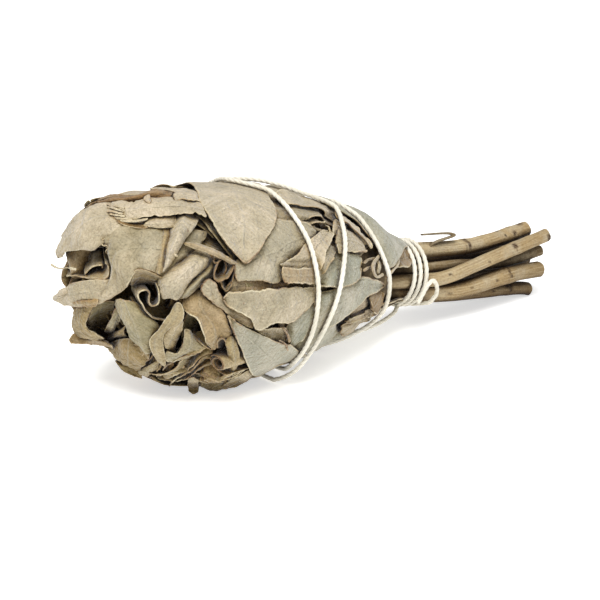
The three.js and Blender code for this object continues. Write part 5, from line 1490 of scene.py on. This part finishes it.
def felted_leaf():
    """Dried sage leaf. Its down of short hairs scatters light, so it looks matt and pale, with a
    soft bloom at grazing angles; the dried blade under it gives mottling, veins and brown rims."""
    made, tree, space = new_finish("dried_sage_leaf_felted")
    flat = put(tree, "UVMap", uv_map="flat")["UV"]
    tone = put(tree, "Attribute", attribute_name="tone")
    kind, dried, olive_and_shade = put(tree, "SeparateXYZ", [tone["Vector"]])
    rim = put(tree, "Attribute", attribute_name="rim")["Fac"]
    colour = put(tree, "ValToRGB", [kind], stops=(
        (0, "#9ba094"), (0.25, "#adab9f"), (0.5, "#b0a58e"), (0.75, "#cabda7"), (1, "#a4885f")))[0]
    # mottling in patches of about 7 mm
    patch = put(tree, "TexNoise", {"Vector": space, "Scale": per_mm(7), "Detail": 4,
                                   "Roughness": 0.62})["Fac"]
    tint = put(tree, "ValToRGB", [patch], stops=((0.32, "#68654a"), (0.5, "#9c937b"), (0.68, "#d2c5b2")))[0]
    # browning where the leaf was bruised, in patches of about 5 mm
    bruise = put(tree, "TexNoise", {"Vector": space, "Scale": per_mm(5), "Detail": 4,
                                    "Roughness": 0.65})["Fac"]
    bruised = put(tree, "Math", [bruise, 0.6], operation="SUBTRACT")[0]
    bruised = put(tree, "Math", [bruised, 2], operation="MULTIPLY", use_clamp=True)[0]
    brown = put(tree, "Math", [dried, 1.1, -0.12], operation="MULTIPLY_ADD")[0]
    brown = put(tree, "Math", [brown, bruised], operation="ADD", use_clamp=True)[0]
    brown = put(tree, "Math", [brown, 0.75], operation="MULTIPLY")[0]
    # rust-brown specks of 0.5 mm, one in every 4 mm or so
    cell = put(tree, "TexVoronoi", {"Vector": space, "Scale": per_mm(4)})
    spot = put(tree, "MapRange", [cell["Distance"], 0.04, 0.1, 1, 0])[0]
    pick = put(tree, "SeparateColor", [cell["Color"]])[0]
    pick = put(tree, "MapRange", [pick, 0.55, 0.9, 0, 0.75])[0]
    rust = put(tree, "Math", [spot, pick], operation="MULTIPLY")[0]
    # side veins slant from the midrib to the margin, 0.9 mm apart, finer wrinkles between them
    across, up, _ = put(tree, "SeparateXYZ", [flat])
    off = put(tree, "Math", [across], operation="ABSOLUTE")[0]
    slope = put(tree, "Math", [off, -0.9, up], operation="MULTIPLY_ADD")[0]
    lines = put(tree, "CombineXYZ", [off, slope, tone["Fac"]])[0]
    lines = put(tree, "Mapping", {"Vector": lines, "Scale": (1.6, 11, 3)})[0]
    vein = put(tree, "TexNoise", {"Vector": lines, "Scale": 1, "Detail": 3, "Roughness": 0.55})["Fac"]
    ribs = put(tree, "ValToRGB", [vein], stops=(
        (0.3, "#8f866e"), (0.46, "#e6e0d0"), (0.56, "#ffffff"), (0.7, "#ddd6c4")))[0]
    # between them a net of about 1.1 mm
    net = put(tree, "TexVoronoi", {"Vector": space, "Scale": per_mm(1.1)}, feature="DISTANCE_TO_EDGE")[
        "Distance"]
    net = put(tree, "MapRange", [net, 0, 0.25, 1, 0])[0]
    net_shows = put(tree, "Math", [net, 0.1], operation="MULTIPLY")[0]
    # the midrib runs up the middle of each leaf, 0.6 mm wide
    midrib = put(tree, "MapRange", [off, 0.01, 0.05, 1, 0])[0]
    midrib_shows = put(tree, "Math", [midrib, 0.13], operation="MULTIPLY")[0]
    # worn rims: pale where thin, brown where they dried out
    dry = put(tree, "TexNoise", {"Vector": space, "Scale": per_mm(9), "Detail": 2})["Fac"]
    rim_colour = put(tree, "ValToRGB", [dry], stops=(
        (0.44, "#ddd3b6"), (0.56, "#c4ac88"), (0.66, "#876748")))[0]
    thin = put(tree, "MapRange", [rim, 0.4, 0.85, 0, 0.7])[0]
    # the very edge is scorched brown here and there
    edge = put(tree, "MapRange", [rim, 0.8, 0.97, 0, 1])[0]
    here = put(tree, "MapRange", [bruise, 0.46, 0.58, 0, 0.75])[0]
    scorched = put(tree, "Math", [edge, here], operation="MULTIPLY")[0]
    # felt of hairs: specks of 0.4 mm, drawn coarser than the real 0.1 mm so that they show
    felt = put(tree, "TexNoise", {"Vector": space, "Scale": per_mm(0.4), "Detail": 2,
                                  "Roughness": 0.7})["Fac"]
    speck = put(tree, "ValToRGB", [felt], stops=((0.3, "#8e8673"), (0.5, "#efece4"), (0.68, "#ffffff")))[0]
    # painted shade: the colour is darkened to brown in the gaps and folds, wherever other leaves lie within
    # 5 mm
    open_sky = put(tree, "AmbientOcclusion", {"Distance": 5 * MM}, samples=6)["AO"]
    painted_shade = put(tree, "ValToRGB", [open_sky], stops=(
        (0.12, "#47320f"), (0.42, "#907a48"), (0.72, "#e9e0c6"), (0.92, "#ffffff")))[0]
    # laid over it one after another; leaves inside the head and low on its end are multiplied olive and
    # darker, partly the olive green the living leaf kept and partly painted shade
    for share, way, layer in (
            (0.38, "MIX", tint), (brown, "MIX", "#80603c"), (rust, "MIX", "#7d5230"),
            (olive_and_shade, "MULTIPLY", "#e6dab6"), (0.28, "MULTIPLY", ribs), (net_shows, "MIX", "#6f6850"),
            (midrib_shows, "MIX", "#cfc6ad"), (thin, "MIX", rim_colour),
            (scorched, "MIX", "#6f5233"), (0.45, "MULTIPLY", speck), (1, "MULTIPLY", painted_shade)):
        colour = put(tree, "Mix", {0: share, 6: colour, 7: layer}, data_type="RGBA", blend_type=way)[2]
    # the blade buckled as it dried, in waves of about 3 mm
    buckle = put(tree, "TexNoise", {"Vector": space, "Scale": per_mm(3.2), "Detail": 2,
                                    "Roughness": 0.5, "Distortion": 0.6})["Fac"]
    height = 0
    for relief, share in ((felt, 0.5), (buckle, 3.4), (net, -0.3), (vein, 1.1), (patch, 1.4),
                          (midrib, 0.6)):
        height = put(tree, "Math", [relief, share, height], operation="MULTIPLY_ADD")[0]
    end_finish(tree, {"Base Color": colour, "Roughness": 0.88, "IOR": 1.4, "Specular IOR Level": 0.25,
                      "Sheen Weight": 0.25, "Sheen Roughness": 0.5}, height, 0.34)
    return made


def broken_leaf_with_painted_shade():
    """Crumbled dry leaf inside the head: dull dark brown, rough all over, in bits of 2.5 mm. Its darkness
    is partly painted shade, so that the gaps down to it look deep.
    """
    made, tree, space = new_finish("broken_leaf_litter_painted_shade")
    bits = put(tree, "TexNoise", {"Vector": space, "Scale": per_mm(2.5), "Detail": 5})["Fac"]
    colour = put(tree, "ValToRGB", [bits], stops=(
        (0.3, "#33291a"), (0.55, "#5c4c33"), (0.75, "#84724f")))[0]
    end_finish(tree, {"Base Color": colour, "Roughness": 0.95}, bits, 0.6)
    return made


def dry_stem_wood():
    """Woody sage stem, dried with its thin bark on: tan, streaked along its length, with a grey
    bloom left from its down, dark cracks at the joints and paler ringed wood where it is cut."""
    made, tree, space = new_finish("dry_sage_stem_wood")
    flat = put(tree, "UVMap", uv_map="flat")["UV"]
    tone = put(tree, "Attribute", attribute_name="tone")
    dark, scar, cut = put(tree, "SeparateXYZ", [tone["Vector"]])
    year = put(tree, "Attribute", attribute_name="rim")["Fac"]
    # bark fibres 0.4 mm wide and 8 mm long: 25 and 1.2 of them in the flat map's 10 mm
    stretched = put(tree, "Mapping", {"Vector": flat, "Scale": (25, 1.2, 1)})[0]
    fibre = put(tree, "TexNoise", {"Vector": stretched, "Scale": 1, "Detail": 4, "Roughness": 0.6})["Fac"]
    colour = put(tree, "ValToRGB", [fibre], stops=(
        (0.3, "#5c472d"), (0.48, "#978460"), (0.68, "#c3b698")))[0]
    # painted shade: a high dark value turns the stems inside the bunch and on its far side dark brown,
    # standing for the shade in the gaps between them
    shade = put(tree, "ValToRGB", [dark], stops=((0, "#b8a684"), (0.5, "#a2885f"), (1, "#493822")))[0]
    # the grey bloom is left in patches of about 6 mm
    bloom = put(tree, "TexNoise", {"Vector": space, "Scale": per_mm(6), "Detail": 4,
                                   "Roughness": 0.65})["Fac"]
    pale = put(tree, "MapRange", [bloom, 0.45, 0.65, 0, 0.55])[0]
    rings = put(tree, "ValToRGB", [year], stops=(
        (0.1, "#5d4930"), (0.35, "#a68d68"), (0.7, "#9b815b"), (1, "#55402a")))[0]
    # pores and dirt of 0.6 mm
    speck = put(tree, "TexNoise", {"Vector": space, "Scale": per_mm(0.6), "Detail": 2})["Fac"]
    dirt = put(tree, "ValToRGB", [speck], stops=((0.3, "#a89a84"), (0.6, "#ffffff")))[0]
    # painted shade: the colour is darkened to brown in the gaps between the stems, wherever another surface
    # lies within 12 mm
    open_sky = put(tree, "AmbientOcclusion", {"Distance": 12 * MM}, samples=6)["AO"]
    painted_shade = put(tree, "ValToRGB", [open_sky], stops=(
        (0.1, "#2e2112"), (0.4, "#7f6b4c"), (0.75, "#f4efe4"), (0.9, "#ffffff")))[0]
    for share, way, layer in (
            (0.5, "MIX", shade), (pale, "MIX", "#b3a993"), (scar, "MIX", "#3f2a18"),
            (cut, "MIX", rings), (0.3, "MULTIPLY", dirt), (1, "MULTIPLY", painted_shade)):
        colour = put(tree, "Mix", {0: share, 6: colour, 7: layer}, data_type="RGBA", blend_type=way)[2]
    height = put(tree, "Math", [fibre, speck], operation="ADD")[0]
    height = put(tree, "Math", [scar, -1.2, height], operation="MULTIPLY_ADD")[0]
    end_finish(tree, {"Base Color": colour, "Roughness": 0.75, "IOR": 1.45,
                      "Specular IOR Level": 0.3}, height, 0.4, 0.8)
    return made


def cotton():
    """Unbleached cotton string, three plies spun and laid: creamy white and quite matt, with a
    halo of loose fibre ends that brightens its edges."""
    made, tree, space = new_finish("cotton_string_three_ply")
    flat = put(tree, "UVMap", uv_map="flat")["UV"]
    # spun fibres cross a ply at a slant, 0.25 mm apart, coarser than real cotton so that they show:
    # 40 of them in the flat map's 10 mm
    slanted = put(tree, "Mapping", {"Vector": flat, "Rotation": (0, 0, 0.6), "Scale": (40, 8, 1)})[0]
    fibre = put(tree, "TexNoise", {"Vector": slanted, "Scale": 1, "Detail": 2})["Fac"]
    spun = put(tree, "ValToRGB", [fibre], stops=((0.3, "#b9b2a2"), (0.6, "#ffffff")))[0]
    # it is a little soiled, in patches of about 12 mm
    soil = put(tree, "TexNoise", {"Vector": space, "Scale": per_mm(12), "Detail": 3})["Fac"]
    colour = put(tree, "ValToRGB", [soil], stops=(
        (0.35, "#d2ccbb"), (0.55, "#dfdacc"), (0.7, "#e6e2d6")))[0]
    colour = put(tree, "Mix", {0: 0.25, 6: colour, 7: spun}, data_type="RGBA", blend_type="MULTIPLY")[2]
    end_finish(tree, {"Base Color": colour, "Roughness": 0.9, "IOR": 1.5, "Specular IOR Level": 0.2,
                      "Sheen Weight": 0.35, "Sheen Roughness": 0.4}, fibre, 0.15, 0.5)
    return made


def white_paper():
    """The white paper sweep that the bundle lies on: matt and even, with a grain of 2 mm. It gives
    off some light, in place of what a bright room throws back onto it."""
    made, tree, space = new_finish("white_paper_sweep")
    grain = put(tree, "TexNoise", {"Vector": space, "Scale": per_mm(2), "Detail": 2})["Fac"]
    colour = put(tree, "ValToRGB", [grain], stops=((0.3, "#efefed"), (0.7, "#f4f4f2")))[0]
    end_finish(tree, {"Base Color": colour, "Roughness": 1, "Specular IOR Level": 0,
                      "Emission Color": "#ffffff", "Emission Strength": 0.52})
    return made


# ---- studio ----
PAPER_REACH = 1.6
SKY_STRENGTH = 0.34
# where each soft lamp stands in metres, how wide it is, and its power in watts
LAMPS = {"key": ((-0.36, -0.32, 0.96), 0.6, 15.2), "fill": ((0.3, -0.95, 0.35), 0.9, 2.2)}
LAMPS_LOOK_AT = (0, 0, 0.02)


def set_studio():
    mesh = bpy.data.meshes.new("floor")
    corners = [(x * PAPER_REACH, y * PAPER_REACH, 0) for x, y in ((-1, -1), (1, -1), (1, 1), (-1, 1))]
    mesh.from_pydata(corners, [], [(0, 1, 2, 3)])
    mesh.materials.append(white_paper())
    floor = bpy.data.objects.new("floor", mesh)
    bpy.context.collection.objects.link(floor)
    world = bpy.data.worlds.new("studio")
    world.use_nodes = True
    sky = world.node_tree.nodes["Background"].inputs
    sky["Color"].default_value = srgb("#ffffff")
    sky["Strength"].default_value = SKY_STRENGTH
    bpy.context.scene.world = world
    for name, (at, size, power) in LAMPS.items():
        data = bpy.data.lights.new(name, "AREA")
        data.size = size
        data.energy = power
        lamp = bpy.data.objects.new(name, data)
        bpy.context.collection.objects.link(lamp)
        back = unit(np.array(at) - LAMPS_LOOK_AT)
        right = unit(np.cross([0, 0, 1], back))
        aim(lamp, right, np.cross(back, right), back, at)
    bpy.context.scene.view_settings.view_transform = "Standard"
    bpy.context.scene.view_settings.look = "None"


# ---- making ----
twisted_string(cotton())
WOOD = dry_stem_wood()
for stem_number, stem_row in enumerate(STEMS, 1):
    cut_stem(stem_number, stem_row, WOOD)
LEAF = felted_leaf()
lay_leaves(LEAF)
fill_end(LEAF)
packed_core(broken_leaf_with_painted_shade())
set_studio()
